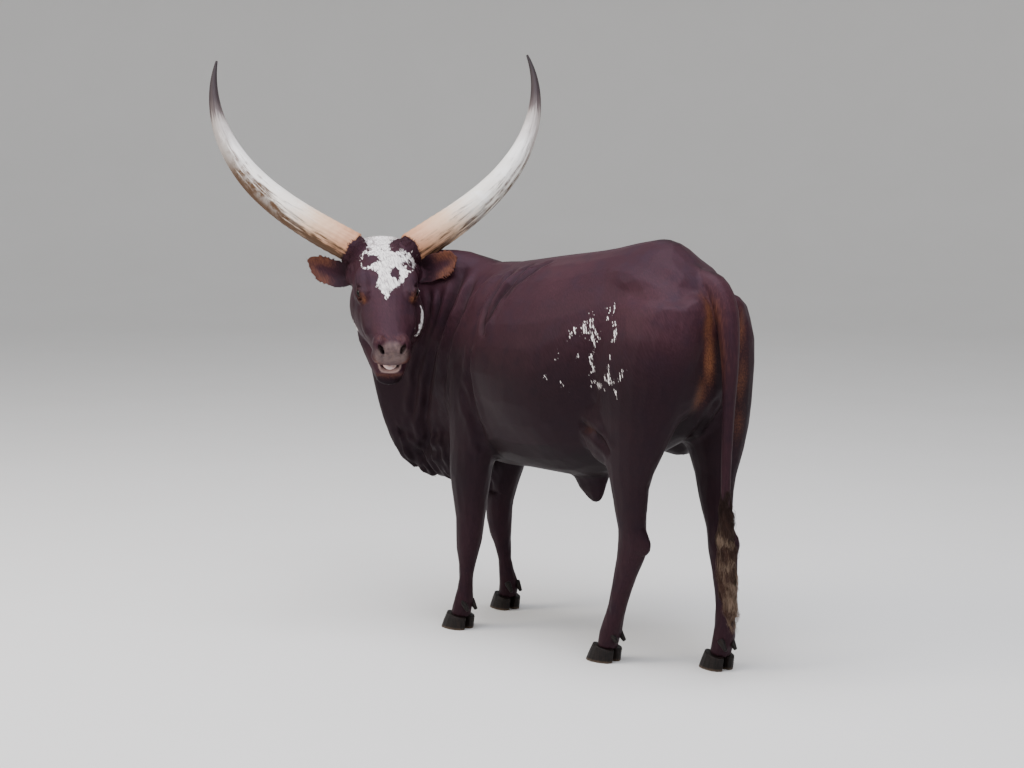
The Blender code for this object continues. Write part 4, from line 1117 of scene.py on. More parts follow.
def horn_curve(way, steps):
    """Points along a horn: it rises slowly at first, then turns upright."""
    horn = HORNS[way]
    outward = left * way
    point = poll + outward * HORN_OUT + SKY * horn["height"] + level * HORN_AHEAD
    made = []
    for number in range(steps + 1):
        share = number / steps + 0.5 / steps
        rise = radians(horn["rise"][0] + horn["rise"][1] * share ** horn["late"])
        bent = sin(pi * min(share * 1.1, 1.0))
        sweep = radians(horn["sweep"][0] + horn["sweep"][1] * bent)
        made.append(point.copy())
        ahead = outward * cos(rise) + SKY * sin(rise)
        point = point + (ahead * cos(sweep) - level * sin(sweep)) * (horn["length"] / steps)
    return np.array(made)


def horn_piece(name, way):
    """A rolled tube with rings near the root and long grooves."""
    bm = bmesh.new()
    bmesh.ops.create_grid(bm, x_segments=HORN_SIDES, y_segments=HORN_RINGS, size=0.5)
    curve = horn_curve(way, HORN_RINGS)
    tangent = np.gradient(curve, axis=0)
    tangent /= np.linalg.norm(tangent, axis=1)[:, None]
    front = np.array(level) - tangent * (tangent @ np.array(level))[:, None]
    front /= np.linalg.norm(front, axis=1)[:, None]
    below = np.cross(tangent, front) * way
    along_layer = bm.verts.layers.float.new("along")
    under_layer = bm.verts.layers.float.new("under")
    grain = bm.loops.layers.uv.new("grain")
    turns = {}
    horn = HORNS[way]
    for vertex in bm.verts:
        row = min(max(round((vertex.co.y + 0.5) * HORN_RINGS), 0), HORN_RINGS)
        turn = (vertex.co.x + 0.5) * 2 * pi
        share = row / HORN_RINGS
        radius = horn["thick"] * (1 - 0.93 * share ** horn["full"])
        spot = Vector((cos(turn) * 2.2, sin(turn) * 2.2, share * 2.4 + way * 5))
        strip = noise.noise(Vector((cos(turn) * 7, sin(turn) * 7, share * 3 + way * 3)))
        ring = sin(share * 210 + noise.noise(spot) * 3) * smooth_step(0.42, 0.03, share)
        flake = noise.fractal(spot * 2.5, 1.0, 2.0, 3)
        groove = 0.0016 * strip * smooth_step(0.95, 0.55, share)
        lift = 0.0007 * ring + groove + 0.0012 * flake * smooth_step(0.8, 0.2, share)
        reach = radius * (1 + 0.02 * sin(3 * turn + 2 * share)) + lift
        out = front[row] * cos(turn) + below[row] * sin(turn)
        vertex.co = Vector(curve[row] + out * reach)
        vertex[along_layer] = share
        middle = smooth_step(0.18, 0.36, share) * smooth_step(0.78, 0.60, share)
        vertex[under_layer] = sin(turn) * horn["underside_streaks"] + horn["wear"] * middle
        turns[vertex.index] = (turn / (2 * pi), share)
    for face in bm.faces:
        face.smooth = True
        for loop in face.loops:
            loop[grain].uv = turns[loop.vert.index]
    bmesh.ops.remove_doubles(bm, verts=bm.verts, dist=1e-6)
    open_edges = [edge for edge in bm.edges if edge.is_boundary]
    bmesh.ops.holes_fill(bm, edges=open_edges, sides=HORN_SIDES + 2)
    bmesh.ops.triangulate(bm, faces=[face for face in bm.faces if len(face.verts) > 4])
    bmesh.ops.recalc_face_normals(bm, faces=bm.faces)
    made = mesh_from(name, bm)
    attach(made, "root")
    return made


horns = [horn_piece("left_horn", 1), horn_piece("right_horn", -1)]
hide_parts("horn_left")
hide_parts("horn_right")
print("horn triangles", [triangles_in(piece.data) for piece in horns])

# %% [markdown]
# ## Horn
# Keratin in layers: a dull cream with peach where blood shows through near the root, brown streaks
# in the splits along its underside, pale chalky patches on the upper side that are partly painted
# light, and a dark grey tip rubbed smooth. The grain follows the horn's own UV map, one turn across
# and its length along, so it runs round every bend.

# %% Horn material
horn_matter, tree, shader = new_material("layered_keratin_horn")
share = add(tree, "Attribute", out="Fac", attribute_name="along")
under = add(tree, "Attribute", out="Fac", attribute_name="under")
grain_map = add(tree, "UVMap", uv_map="grain")
place = add(tree, "TexCoord", out="Object")
strips_map = add(tree, "Mapping", {"Vector": grain_map, "Scale": (26, 7, 1)})
strips = add(tree, "TexNoise", {"Vector": strips_map, "Scale": 1.0, "Detail": 5.0,
                                "Roughness": 0.62})
blots = add(tree, "TexNoise", {"Vector": place, "Scale": 16.0, "Detail": 4.0, "Roughness": 0.6})
wobble = add(tree, "Math", {0: strips, 1: 0.16, 2: -0.08}, operation="MULTIPLY_ADD")
wobble = add(tree, "Math", {0: share, 1: wobble}, operation="ADD")
clean = add(tree, "ValToRGB", {"Fac": wobble})
stops = ((0.0, "#b98463"), (0.06, "#d0a07f"), (0.15, "#dcb899"), (0.28, "#ece4d8"),
         (0.60, "#ebe7e2"), (0.70, "#bdb5b1"), (0.76, "#a39a95"), (0.80, "#5b504f"),
         (0.85, "#3a2f31"), (1.0, "#2a2225"))
ramp = clean.node.color_ramp
ramp.elements[0].color = linear(stops[0][1])
ramp.elements[1].color = linear(stops[-1][1])
for position, code in stops[1:-1]:
    ramp.elements.new(position).color = linear(code)
# Brown streaks in the splits, more of them on the underside.
underside_streaks = add(tree, "Math", {0: under, 1: 0.22, 2: strips}, operation="MULTIPLY_ADD")
underside_streaks = add(tree, "Math", {0: blots, 1: 0.34, 2: underside_streaks}, operation="MULTIPLY_ADD")
underside_streaks = add(tree, "MapRange", {"Value": underside_streaks, "From Min": 0.64, "From Max": 0.86}, **STEP)
low = add(tree, "MapRange", {"Value": share, "From Min": 0.80, "From Max": 0.50}, **STEP)
underside_streaks = add(tree, "Math", {0: underside_streaks, 1: low}, operation="MULTIPLY")
tone = add(tree, "Mix", {0: underside_streaks, 6: clean, 7: linear("#553d2a")}, **COLOURS)
# Pale chalky patches on the upper side, partly painted light that brightens the top of the horn.
chalk_and_light = add(tree, "MapRange", {"Value": blots, "From Min": 0.46, "From Max": 0.66}, **STEP)
above = add(tree, "Math", {0: under, 1: -0.45, 2: 0.72}, operation="MULTIPLY_ADD",
            use_clamp=True)
chalk_and_light = add(tree, "Math", {0: chalk_and_light, 1: above}, operation="MULTIPLY")
middle_part = add(tree, "MapRange", {"Value": share, "From Min": 0.16, "From Max": 0.34}, **STEP)
chalk_and_light = add(tree, "Math", {0: chalk_and_light, 1: middle_part}, operation="MULTIPLY")
chalk_and_light = add(tree, "Math", {0: chalk_and_light, 1: low}, operation="MULTIPLY")
tone = add(tree, "Mix", {0: chalk_and_light, 6: tone, 7: linear("#f6f3ee")}, **COLOURS)
tree.links.new(tone, shader.inputs["Base Color"])
rough = add(tree, "Math", {0: underside_streaks, 1: 0.20, 2: 0.54}, operation="MULTIPLY_ADD")
tree.links.new(rough, shader.inputs["Roughness"])
shader.inputs["IOR"].default_value = 1.54
shader.inputs["Specular IOR Level"].default_value = 0.22
raised = add(tree, "Bump", {"Strength": 0.5, "Distance": 0.0014, "Height": strips})
tree.links.new(raised, shader.inputs["Normal"])
for piece in horns:
    dress(piece, horn_matter)

# %% [markdown]
# ## Eyes
# A steer's eye is a dark brown ball with a wide pupil, wet and glossy. A ball with many faces is
# turned to look along the gaze, its front swollen a little as the cornea is, and each point keeps
# its place on the ball so that the material can draw iris and pupil.

# %% Eyeballs
def eye_piece(name, way):
    """An eyeball with a cornea, placed behind its lids."""
    bm = bmesh.new()
    bmesh.ops.create_uvsphere(bm, u_segments=64, v_segments=40, radius=1.0)
    layers = [bm.verts.layers.float.new(key) for key in ("iris_x", "iris_y", "iris_z")]
    axes = eye_axes(way)
    for vertex in bm.verts:
        flat = Vector(vertex.co)
        for layer, value in zip(layers, flat):
            vertex[layer] = value
        cornea = 1.0 + 0.05 * smooth_step(0.62, 0.95, flat.z)
        vertex.co = Vector(np.array(flat) @ axes * EYE_RADIUS * cornea + EYES[way])
    rounded_outwards(bm)
    made = mesh_from(name, bm)
    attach(made, "root")
    return made


eyeballs = [eye_piece("left_eyeball", 1), eye_piece("right_eyeball", -1)]
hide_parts("eye_left")
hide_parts("eye_right")

eye_matter, tree, shader = new_material("wet_brown_eye")
flat = add(tree, "Attribute", out="Fac", attribute_name="iris_x")
flat = add(tree, "Math", {0: flat, 1: 0.62}, operation="MULTIPLY")
tall = add(tree, "Attribute", out="Fac", attribute_name="iris_y")
front = add(tree, "Attribute", out="Fac", attribute_name="iris_z")
spot = add(tree, "CombineXYZ", {"X": flat, "Y": tall})
around = add(tree, "VectorMath", {0: spot}, out="Value", operation="LENGTH")
pupil = add(tree, "MapRange", {"Value": around, "From Min": 0.27, "From Max": 0.22}, **STEP)
rim = add(tree, "MapRange", {"Value": front, "From Min": 0.60, "From Max": 0.52}, **STEP)
tone = add(tree, "Mix", {0: pupil, 6: linear("#1f0f0b"), 7: linear("#050404")}, **COLOURS)
tone = add(tree, "Mix", {0: rim, 6: tone, 7: linear("#1d1310")}, **COLOURS)
tree.links.new(tone, shader.inputs["Base Color"])
shader.inputs["Roughness"].default_value = 0.14
shader.inputs["IOR"].default_value = 1.38
shader.inputs["Specular IOR Level"].default_value = 0.35
for piece in eyeballs:
    dress(piece, eye_matter)
print("eyeballs at", {way: [round(v, 3) for v in centre] for way, centre in EYES.items()})

# %% [markdown]
# ## Lid rims
# The edge of a lid is bare, dark and wet, about three millimetres thick. A thin tube follows the
# almond of the opening just over the eyeball and hides where the skin turns in.

# %% Rims of the lids
def closed_tube(name, centres, normals, radius, sides=8):
    """A ring-shaped tube through the centres, made by bridging small circles."""
    bm = bmesh.new()
    loops = []
    count = len(centres)
    for number in range(count):
        ahead = Vector(centres[(number + 1) % count]) - Vector(centres[number - 1])
        out = Vector(normals[number])
        across = ahead.cross(out).normalized()
        turn = Matrix((out.cross(across).cross(across) * -1, across, ahead.normalized()))
        turn = turn.transposed().to_4x4()
        turn.translation = Vector(centres[number])
        made = bmesh.ops.create_circle(bm, segments=sides, radius=radius, matrix=turn)
        loops.append([edge for edge in bm.edges if set(edge.verts) <= set(made["verts"])])
    for number in range(count):
        bmesh.ops.bridge_loops(bm, edges=loops[number] + loops[(number + 1) % count])
    rounded_outwards(bm)
    return mesh_from(name, bm)


def lid_rim(name, way):
    axes = eye_axes(way)
    centres = []
    outs = []
    count = 56
    for number in range(count):
        turn = 2 * pi * number / count
        u = cos(turn) * LID_LENGTH * 1.01
        v = sin(turn) * (LID_UPPER if sin(turn) < 0 else LID_LOWER) * 1.01
        v += 0.0022 * float(smooth_step(0.004, 0.017, u))
        w = (EYE_RADIUS + 0.0012) ** 2 - u * u - v * v
        local = np.array([u, v, max(w, 0.0052 ** 2) ** 0.5])
        centres.append(local @ axes + EYES[way])
        outs.append(local @ axes / np.linalg.norm(local))
    made = closed_tube(name, centres, outs, 0.0016)
    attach(made, "root")
    return made


rims = [lid_rim("left_lid_rim", 1), lid_rim("right_lid_rim", -1)]
rim_matter, tree, shader = new_material("bare_dark_lid")
place = add(tree, "TexCoord", out="Object")
freckled = add(tree, "TexNoise", {"Vector": place, "Scale": 220.0, "Detail": 2.0})
tone = add(tree, "Mix", {0: freckled, 6: linear("#140c0b"), 7: linear("#2a1a15")}, **COLOURS)
tree.links.new(tone, shader.inputs["Base Color"])
shader.inputs["Roughness"].default_value = 0.50
shader.inputs["Specular IOR Level"].default_value = 0.25
for piece in rims:
    dress(piece, rim_matter)

# %% [markdown]
# ## Tongue
# The mouth is a little open and shows the front of the tongue. The solid's own shape is copied,
# made finer by subdivision and smoothed, and gets a wet pale pink.

# %% Tongue
bm = merged_copy("tongue")
bmesh.ops.subdivide_edges(bm, edges=bm.edges, cuts=2, use_grid_fill=True)
for _ in range(3):
    bmesh.ops.smooth_vert(bm, verts=bm.verts, factor=0.5, use_axis_x=True, use_axis_y=True,
                          use_axis_z=True)
for face in bm.faces:
    face.smooth = True
mouth_flesh = mesh_from("mouth_flesh", bm)
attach(mouth_flesh, "root")
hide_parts("tongue")
tongue_matter, tree, shader = new_material("wet_tongue")
place = add(tree, "TexCoord", out="Object")
buds = add(tree, "TexNoise", {"Vector": place, "Scale": 420.0, "Detail": 2.0})
mottled = add(tree, "TexNoise", {"Vector": place, "Scale": 70.0, "Detail": 3.0})
tone = add(tree, "Mix", {0: mottled, 6: linear("#cfa9a2"), 7: linear("#e2c8c2")}, **COLOURS)
tree.links.new(tone, shader.inputs["Base Color"])
shader.inputs["Roughness"].default_value = 0.32
shader.inputs["IOR"].default_value = 1.40
shader.inputs["Subsurface Weight"].default_value = 0.15
shader.inputs["Subsurface Radius"].default_value = (0.006, 0.002, 0.001)
raised = add(tree, "Bump", {"Strength": 0.3, "Distance": 0.0006, "Height": buds})
tree.links.new(raised, shader.inputs["Normal"])
dress(mouth_flesh, tongue_matter)

# %% [markdown]
# ## Hooves
# Each foot stands on two claws of dark horn, with two small dewclaws behind. The solids are copied
# and remeshed finely so that growth ridges can be pressed into the wall, as they are on a real
# hoof: flat waves a few millimetres apart, level with the crown.

# %% Claws and dewclaws
hoof_matter, tree, shader = new_material("dark_hoof_horn")
place = add(tree, "TexCoord", out="Object")
streak_map = add(tree, "Mapping", {"Vector": place, "Scale": (260, 260, 26)})
streaks = add(tree, "TexNoise", {"Vector": streak_map, "Scale": 1.0, "Detail": 3.0})
ridge_map = add(tree, "Mapping", {"Vector": place, "Scale": (12, 12, 300)})
ridges = add(tree, "TexNoise", {"Vector": ridge_map, "Scale": 1.0, "Detail": 2.0})
height_up = add(tree, "SeparateXYZ", {"Vector": place}, out="Z")
streaky = add(tree, "MapRange", {"Value": streaks, "From Min": 0.35, "From Max": 0.7}, **STEP)
tone = add(tree, "Mix", {0: streaky, 6: linear("#0f0b0a"), 7: linear("#1f1714")}, **COLOURS)
dust = add(tree, "MapRange", {"Value": height_up, "From Min": 0.012, "From Max": 0.001}, **STEP)
dust = add(tree, "Math", {0: dust, 1: streaks}, operation="MULTIPLY")
tone = add(tree, "Mix", {0: dust, 6: tone, 7: linear("#6b5a49")}, **COLOURS)
tree.links.new(tone, shader.inputs["Base Color"])
rough = add(tree, "Math", {0: ridges, 1: 0.2, 2: 0.40}, operation="MULTIPLY_ADD")
tree.links.new(rough, shader.inputs["Roughness"])
shader.inputs["Specular IOR Level"].default_value = 0.2
raised = add(tree, "Bump", {"Strength": 0.5, "Distance": 0.0010, "Height": ridges})
tree.links.new(raised, shader.inputs["Normal"])

HOOF_NODES = [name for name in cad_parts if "claw_" in name]
for node in HOOF_NODES:
    hoof = fused(node.replace("claw", "hoof_claw"), [node], 0.0, 0.0026)
    edges = edges_of(hoof.data)
    places = points_of(hoof.data)
    low = places[:, 2].min()
    wall = smooth_step(0.002, 0.010, places[:, 2] - low)
    places = softened(places, edges, wall[:, None], 3, 0.45)
    place_points(hoof.data, places)
    if node.startswith("claw"):
        out = normals_of(hoof.data)
        sides = smooth_step(0.85, 0.45, np.abs(out[:, 2])) * wall
        wave = np.sin((places[:, 2] - low) * 2 * pi / 0.0075 + wander(places, 30.0, 1.5, 5))
        place_points(hoof.data, places + out * (0.0005 * wave * sides - 0.0002)[:, None])
    for face in hoof.data.polygons:
        face.use_smooth = True
    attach(hoof, "root")
    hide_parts(node)
    dress(hoof, hoof_matter)
print("hooves", len(HOOF_NODES))

# %% [markdown]
# ## Tufts of hair
# Flat short hair is in the material's bump. Where it breaks the outline, at the ears, poll, horn
# roots, blaze, back, belly and the backs of the legs, it is real mesh: thousands of thin closed
# tufts, each a bent, tapered sliver with a few faces. Placing them one by one with operators would take
# hours, so arrays work out all their points at once and fill one joined mesh.

# %% Where the tufts' colours are baked
def axis_groups(points, normals, part):
    """Each point's island on the skin's unwrap: its part and the side that it faces."""
    side = np.argmax(np.abs(normals), axis=1)
    sign = (np.take_along_axis(normals, side[:, None], 1)[:, 0] > 0).astype(int)
    return part * 6 + side * 2 + sign


OTHER_AXES = np.array([(1, 2), (0, 2), (0, 1)])


def island_boxes(points, normals, part):
    """Packs the islands in rows inside the unit square."""
    group = axis_groups(points, normals, part)
    boxes = {}
    for number in np.unique(group):
        chosen = points[group == number][:, OTHER_AXES[(number % 6) // 2]]
        boxes[number] = (chosen.min(axis=0), chosen.max(axis=0))
    order = sorted(boxes, key=lambda number: -(boxes[number][1] - boxes[number][0])[1])
    for scale in np.linspace(0.6, 0.1, 60):
        corner = np.array([0.004, 0.004])
        row = 0.0
        placed = {}
        for number in order:
            size = (boxes[number][1] - boxes[number][0]) * scale + 0.006
            if corner[0] + size[0] > 0.996:
                corner = np.array([0.004, corner[1] + row])
                row = 0.0
            placed[number] = (corner.copy(), boxes[number][0], scale)
            corner[0] += size[0]
            row = max(row, size[1])
        if corner[1] + row < 0.996:
            return placed
    return placed


points = points_of(skin.data)
skin_normals = normals_of(skin.data)
ISLANDS = island_boxes(points, skin_normals, skin_part)


def unwrapped(points, normals, part):
    """Each root's place on the unwrap."""
    group = axis_groups(points, normals, part)
    place = np.zeros((len(points), 2))
    for number in np.unique(group):
        known = ISLANDS.get(number) or ISLANDS[min(ISLANDS, key=lambda k: abs(k - number))]
        corner, low, scale = known
        chosen = group == number
        flat = points[chosen][:, OTHER_AXES[(number % 6) // 2]]
        place[chosen] = corner + (flat - low) * scale + 0.003
    return np.clip(place, 0.003, 0.997)


print("islands on the unwrap", len(ISLANDS))

# %% Build one joined mesh of tufts
def sliver_faces(rings):
    """The triangles of one three-sided sliver: its foot, its sides ring by ring, and its tip."""
    faces = [(0, 2, 1)]
    for ring in range(rings - 1):
        for k in range(3):
            a = ring * 3 + k
            b = ring * 3 + (k + 1) % 3
            faces += [(a, b + 3, a + 3), (a, b, b + 3)]
    last = rings * 3 - 3
    return np.array(faces + [(last + k, last + (k + 1) % 3, last + 3) for k in range(3)])


def set_ring(verts, ring, centre, side, half, out, height):
    """Places the three points of one ring of every sliver: two at its sides and one on its back."""
    verts[:, ring * 3] = centre - side * half[:, None]
    verts[:, ring * 3 + 1] = centre + side * half[:, None]
    verts[:, ring * 3 + 2] = centre + out * (half * height)[:, None]


def sliver_mesh(name, verts, rings, place, values):
    """Joins many slivers of the same build into one mesh, with their numbers and bake map."""
    count, per, _ = verts.shape
    corners = (sliver_faces(rings)[None] + (np.arange(count) * per)[:, None, None]).reshape(-1)
    mesh = bpy.data.meshes.new(name)
    mesh.vertices.add(count * per)
    mesh.loops.add(len(corners))
    mesh.polygons.add(len(corners) // 3)
    mesh.vertices.foreach_set("co", verts.astype(np.float32).ravel())
    mesh.loops.foreach_set("vertex_index", corners.astype(np.int32))
    mesh.polygons.foreach_set("loop_start", np.arange(0, len(corners), 3, dtype=np.int32))
    mesh.polygons.foreach_set("use_smooth", np.ones(len(corners) // 3, bool))
    mesh.update(calc_edges=True)
    mesh.validate()
    add_numbers(mesh, values)
    aside = np.array([-1, 1, 0] * rings + [0])
    ahead = np.repeat(np.arange(rings + 1), 3)[:per] / rings * 2 - 1
    spread = np.tile(np.stack([aside, ahead], 1), (count, 1))
    map_place = np.repeat(place, per, axis=0) + spread * 0.0015
    uv = mesh.uv_layers.new(name="OFBake")
    uv.data.foreach_set("uv", map_place[corners].astype(np.float32).ravel())
    made = linked(name, mesh)
    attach(made, "root")
    return made


def tuft_mesh(name, root, normal, lie, length, width, lift, rings, values, place, curl, seed):
    """Closed three-sided slivers: a ring of three points at each step, and a tip."""
    rng = np.random.default_rng(seed)
    count = len(root)
    lie = lie - normal * (lie * normal).sum(axis=1)[:, None]
    lie /= np.maximum(np.linalg.norm(lie, axis=1), 1e-9)[:, None]
    side = np.cross(normal, lie)
    verts = np.zeros((count, rings * 3 + 1, 3))
    centre = root - normal * (0.0012 + 0.02 * length)[:, None]
    phase = rng.uniform(0, 2 * pi, count)
    for ring in range(rings + 1):
        share = ring / rings
        if ring:
            angle = lift * (1 - 0.85 * share)
            ahead = lie * np.cos(angle)[:, None] + normal * np.sin(angle)[:, None]
            wave = curl * np.cos(phase + share * 7.5)
            ahead = ahead + side * wave[:, None]
            ahead /= np.linalg.norm(ahead, axis=1)[:, None]
            centre = centre + ahead * (length / rings)[:, None]
        if ring == rings:
            verts[:, -1] = centre
            break
        half = 0.5 * width * (1 - share ** 1.6) * (0.7 + 0.3 * min(share * 4, 1))
        set_ring(verts, ring, centre, side, half, normal, 0.55)
    per = rings * 3 + 1
    values = {key: np.repeat(amounts, per) for key, amounts in values.items()}
    values["tone"] = np.repeat(rng.uniform(0, 1, count), per)
    made = sliver_mesh(name, verts, rings, place, values)
    return made


# %% [markdown]
# ## Which way the hair lies
# On a steer the hair runs back and down along the body, down the legs and tail, down the face to
# the muzzle but up from between the eyes to the poll, and out along the ears.

# %% Direction of the coat
def hair_lie(points, normals, part):
    """The direction that the hair points in, before it is laid on the surface."""
    head = from_poll(points)
    lie = np.zeros((len(points), 3)) + (-1.0, 0.0, -0.35)
    steep = np.abs(normals[:, 1])
    lie[:, 2] = -0.1 - 0.75 * steep
    neck = part == IS_NECK
    lie[neck] = (-0.8, -0.35, -0.55)
    limb = np.isin(part, IS_LEG)
    lie[limb] = (-0.12, 0.0, -1.0)
    lie[part == IS_TAIL] = (-0.25, 0.0, -1.0)
    down_face = np.array(along) - np.array(up) * 0.35
    up_face = -np.array(along)
    share = smooth_step(0.26, 0.18, head[:, 0]) * smooth_step(-0.07, -0.03, head[:, 2])
    face = part == IS_HEAD
    fan = np.array(left)[None] * (np.sign(head[:, 1]) * np.minimum(np.abs(head[:, 1]) * 9, 0.9)
                                  )[:, None]
    mixed = down_face * (1 - share)[:, None] + (up_face + fan * 0.6) * share[:, None]
    lie[face] = mixed[face]
    for way, number in EAR_SIDES:
        ahead, _, across = ear_axes(way)
        chosen = part == number
        _, aside = on_ear(points[chosen], way)
        lie[chosen] = ahead + across * np.clip(aside * 8, -0.25, 0.25)[:, None]
    return lie


# %% Choose roots on the skin
skin_faces = np.empty(len(skin.data.polygons) * 3, np.int32)
skin.data.polygons.foreach_get("vertices", skin_faces)
skin_faces = skin_faces.reshape(-1, 3)
corner_a, corner_b, corner_c = (points[skin_faces[:, k]] for k in range(3))
face_area = 0.5 * np.linalg.norm(np.cross(corner_b - corner_a, corner_c - corner_a), axis=1)
face_middle = (corner_a + corner_b + corner_c) / 3
face_normal = skin_normals[skin_faces].mean(axis=1)
face_normal /= np.maximum(np.linalg.norm(face_normal, axis=1), 1e-9)[:, None]
face_part = skin_part[skin_faces[:, 0]]
print("skin area", round(float(face_area.sum()), 2), "square metres")


def roots_for(weight, count, seed):
    """Draws roots over the skin, more of them where the weight is high."""
    rng = np.random.default_rng(seed)
    chance = face_area * weight
    total = chance.sum()
    chosen = rng.choice(len(chance), size=count, p=chance / total)
    r1 = np.sqrt(rng.uniform(0, 1, count))[:, None]
    r2 = rng.uniform(0, 1, count)[:, None]
    a, b, c = (skin_faces[chosen][:, k] for k in range(3))
    root = points[a] * (1 - r1) + points[b] * r1 * (1 - r2) + points[c] * r1 * r2
    normal = skin_normals[a] * (1 - r1) + skin_normals[b] * r1 * (1 - r2) + skin_normals[c] * r1 * r2
    normal /= np.linalg.norm(normal, axis=1)[:, None]
    return root, normal, face_part[chosen]


def hair_patch(name, weight, count, length, width, lift, rings=2, seed=1, scatter=0.25, curl=0.0):
    """One coat piece: roots drawn by weight, laid along the coat."""
    rng = np.random.default_rng(seed + 100)
    root, normal, part = roots_for(weight, count, seed)
    lie = hair_lie(root, normal, part) + rng.normal(0, scatter, (count, 3))
    values = coat_colours(root, normal, part)
    size = rng.uniform(0.7, 1.25, count)
    made = tuft_mesh(
        name, root, normal, lie, length * size, width * rng.uniform(0.7, 1.2, count),
        lift * rng.uniform(0.4, 1.5, count), rings, values, unwrapped(root, normal, part),
        curl, seed)
    dress(made, tuft_coat)
    print(name, "tufts", count, "triangles", triangles_in(made.data))
    return made


# %% [markdown]
# ## Tuft material
# The same hair as the skin's, with the same markings from the same attributes, but each tuft is
# a little lighter or darker than its neighbour, and there is no bump, as the tufts are real.

# %% Material of the tufts
tuft_coat, tree, shader = new_material("cattle_hair_tufts")
own_tone = add(tree, "Attribute", out="Fac", attribute_name="tone")
colour, _ = coat_base(tree, own_tone)
shade = add(tree, "Math", {0: own_tone, 1: 0.45, 2: 0.78}, operation="MULTIPLY_ADD")
tone = add(tree, "Mix", {0: 1.0, 6: colour, 7: shade}, blend_type="MULTIPLY", **COLOURS)
tree.links.new(tone, shader.inputs["Base Color"])
shader.inputs["Roughness"].default_value = 0.46
shader.inputs["IOR"].default_value = 1.55
shader.inputs["Specular IOR Level"].default_value = 0.12
shader.inputs["Specular Tint"].default_value = GLOSS_TINT
shader.inputs["Sheen Weight"].default_value = 0.02
shader.inputs["Sheen Tint"].default_value = SHEEN_TINT

# %% Lay the first coat pieces
head_here = from_poll(face_middle)
body_here = from_withers(face_middle)
on_head_part = face_part == IS_HEAD
ear_part = np.isin(face_part, IS_EAR)
poll_zone = on_head_part * smooth_step(0.10, 0.02, head_here[:, 0]) * smooth_step(
    -0.12, -0.02, head_here[:, 2])
blaze_zone = (on_head_part * (head_here[:, 0] < 0.30) * (head_here[:, 2] > -0.075)
              * (np.abs(head_here[:, 1]) < 0.12))
horn_ring = np.zeros(len(face_middle))
for way in (1, -1):
    root = horn_curve(way, 12)[0]
    away = np.linalg.norm(face_middle - root, axis=1)
    horn_ring = np.maximum(horn_ring, on_head_part * smooth_step(0.100, 0.078, away))
hair_patch("poll_hair", poll_zone + 0.02 * on_head_part, 4500,
           length=0.013, width=0.0020, lift=0.16, rings=3, seed=11)
hair_patch("horn_root_hair", horn_ring, 5200,
           length=0.017, width=0.0022, lift=0.34, rings=3, seed=17)
hair_patch("blaze_hair", blaze_zone.astype(float), 12000,
           length=0.008, width=0.0013, lift=0.12, seed=12)
hair_patch("ear_hair", ear_part.astype(float), 9000,
           length=0.005, width=0.0009, lift=0.02, seed=13, scatter=0.10)
topline = smooth_step(0.75, 0.95, face_normal[:, 2]) * (body_here[:, 2] > 1.0) * ~on_head_part
hair_patch("back_hair", topline.astype(float), 12000,
           length=0.012, width=0.0020, lift=0.14, seed=14)
belly = smooth_step(-0.4, -0.8, face_normal[:, 2]) * (body_here[:, 2] > 0.35) * ~on_head_part
hair_patch("belly_hair", belly.astype(float), 12000,
           length=0.014, width=0.0020, lift=0.14, seed=15)
backs = np.isin(face_part, IS_LEG) * smooth_step(-0.1, -0.6, face_normal[:, 0])
hair_patch("leg_hair", backs + 0.15 * np.isin(face_part, IS_LEG), 12000,
           length=0.011, width=0.0018, lift=0.15, seed=16)

# %% [markdown]
# ## Tail switch
# The switch is a brush of long wavy hair on the end of the tail. Each strand starts round the
# tail's end and hangs to its own length, bending as it goes. Pale strands low in the switch are
# painted highlights on its curls.

# %% Strands of the switch
SWITCH_LINE = np.array([on_body(x, y, z) for x, y, z in (
    (-0.645, 0.020, 0.640), (-0.645, 0.020, 0.560), (-0.648, 0.020, 0.460),
    (-0.655, 0.018, 0.350), (-0.667, 0.014, 0.240), (-0.678, 0.010, 0.158))])
SWITCH_REACH = np.array([0.015, 0.019, 0.028, 0.032, 0.027, 0.010])
LOCKS = 26


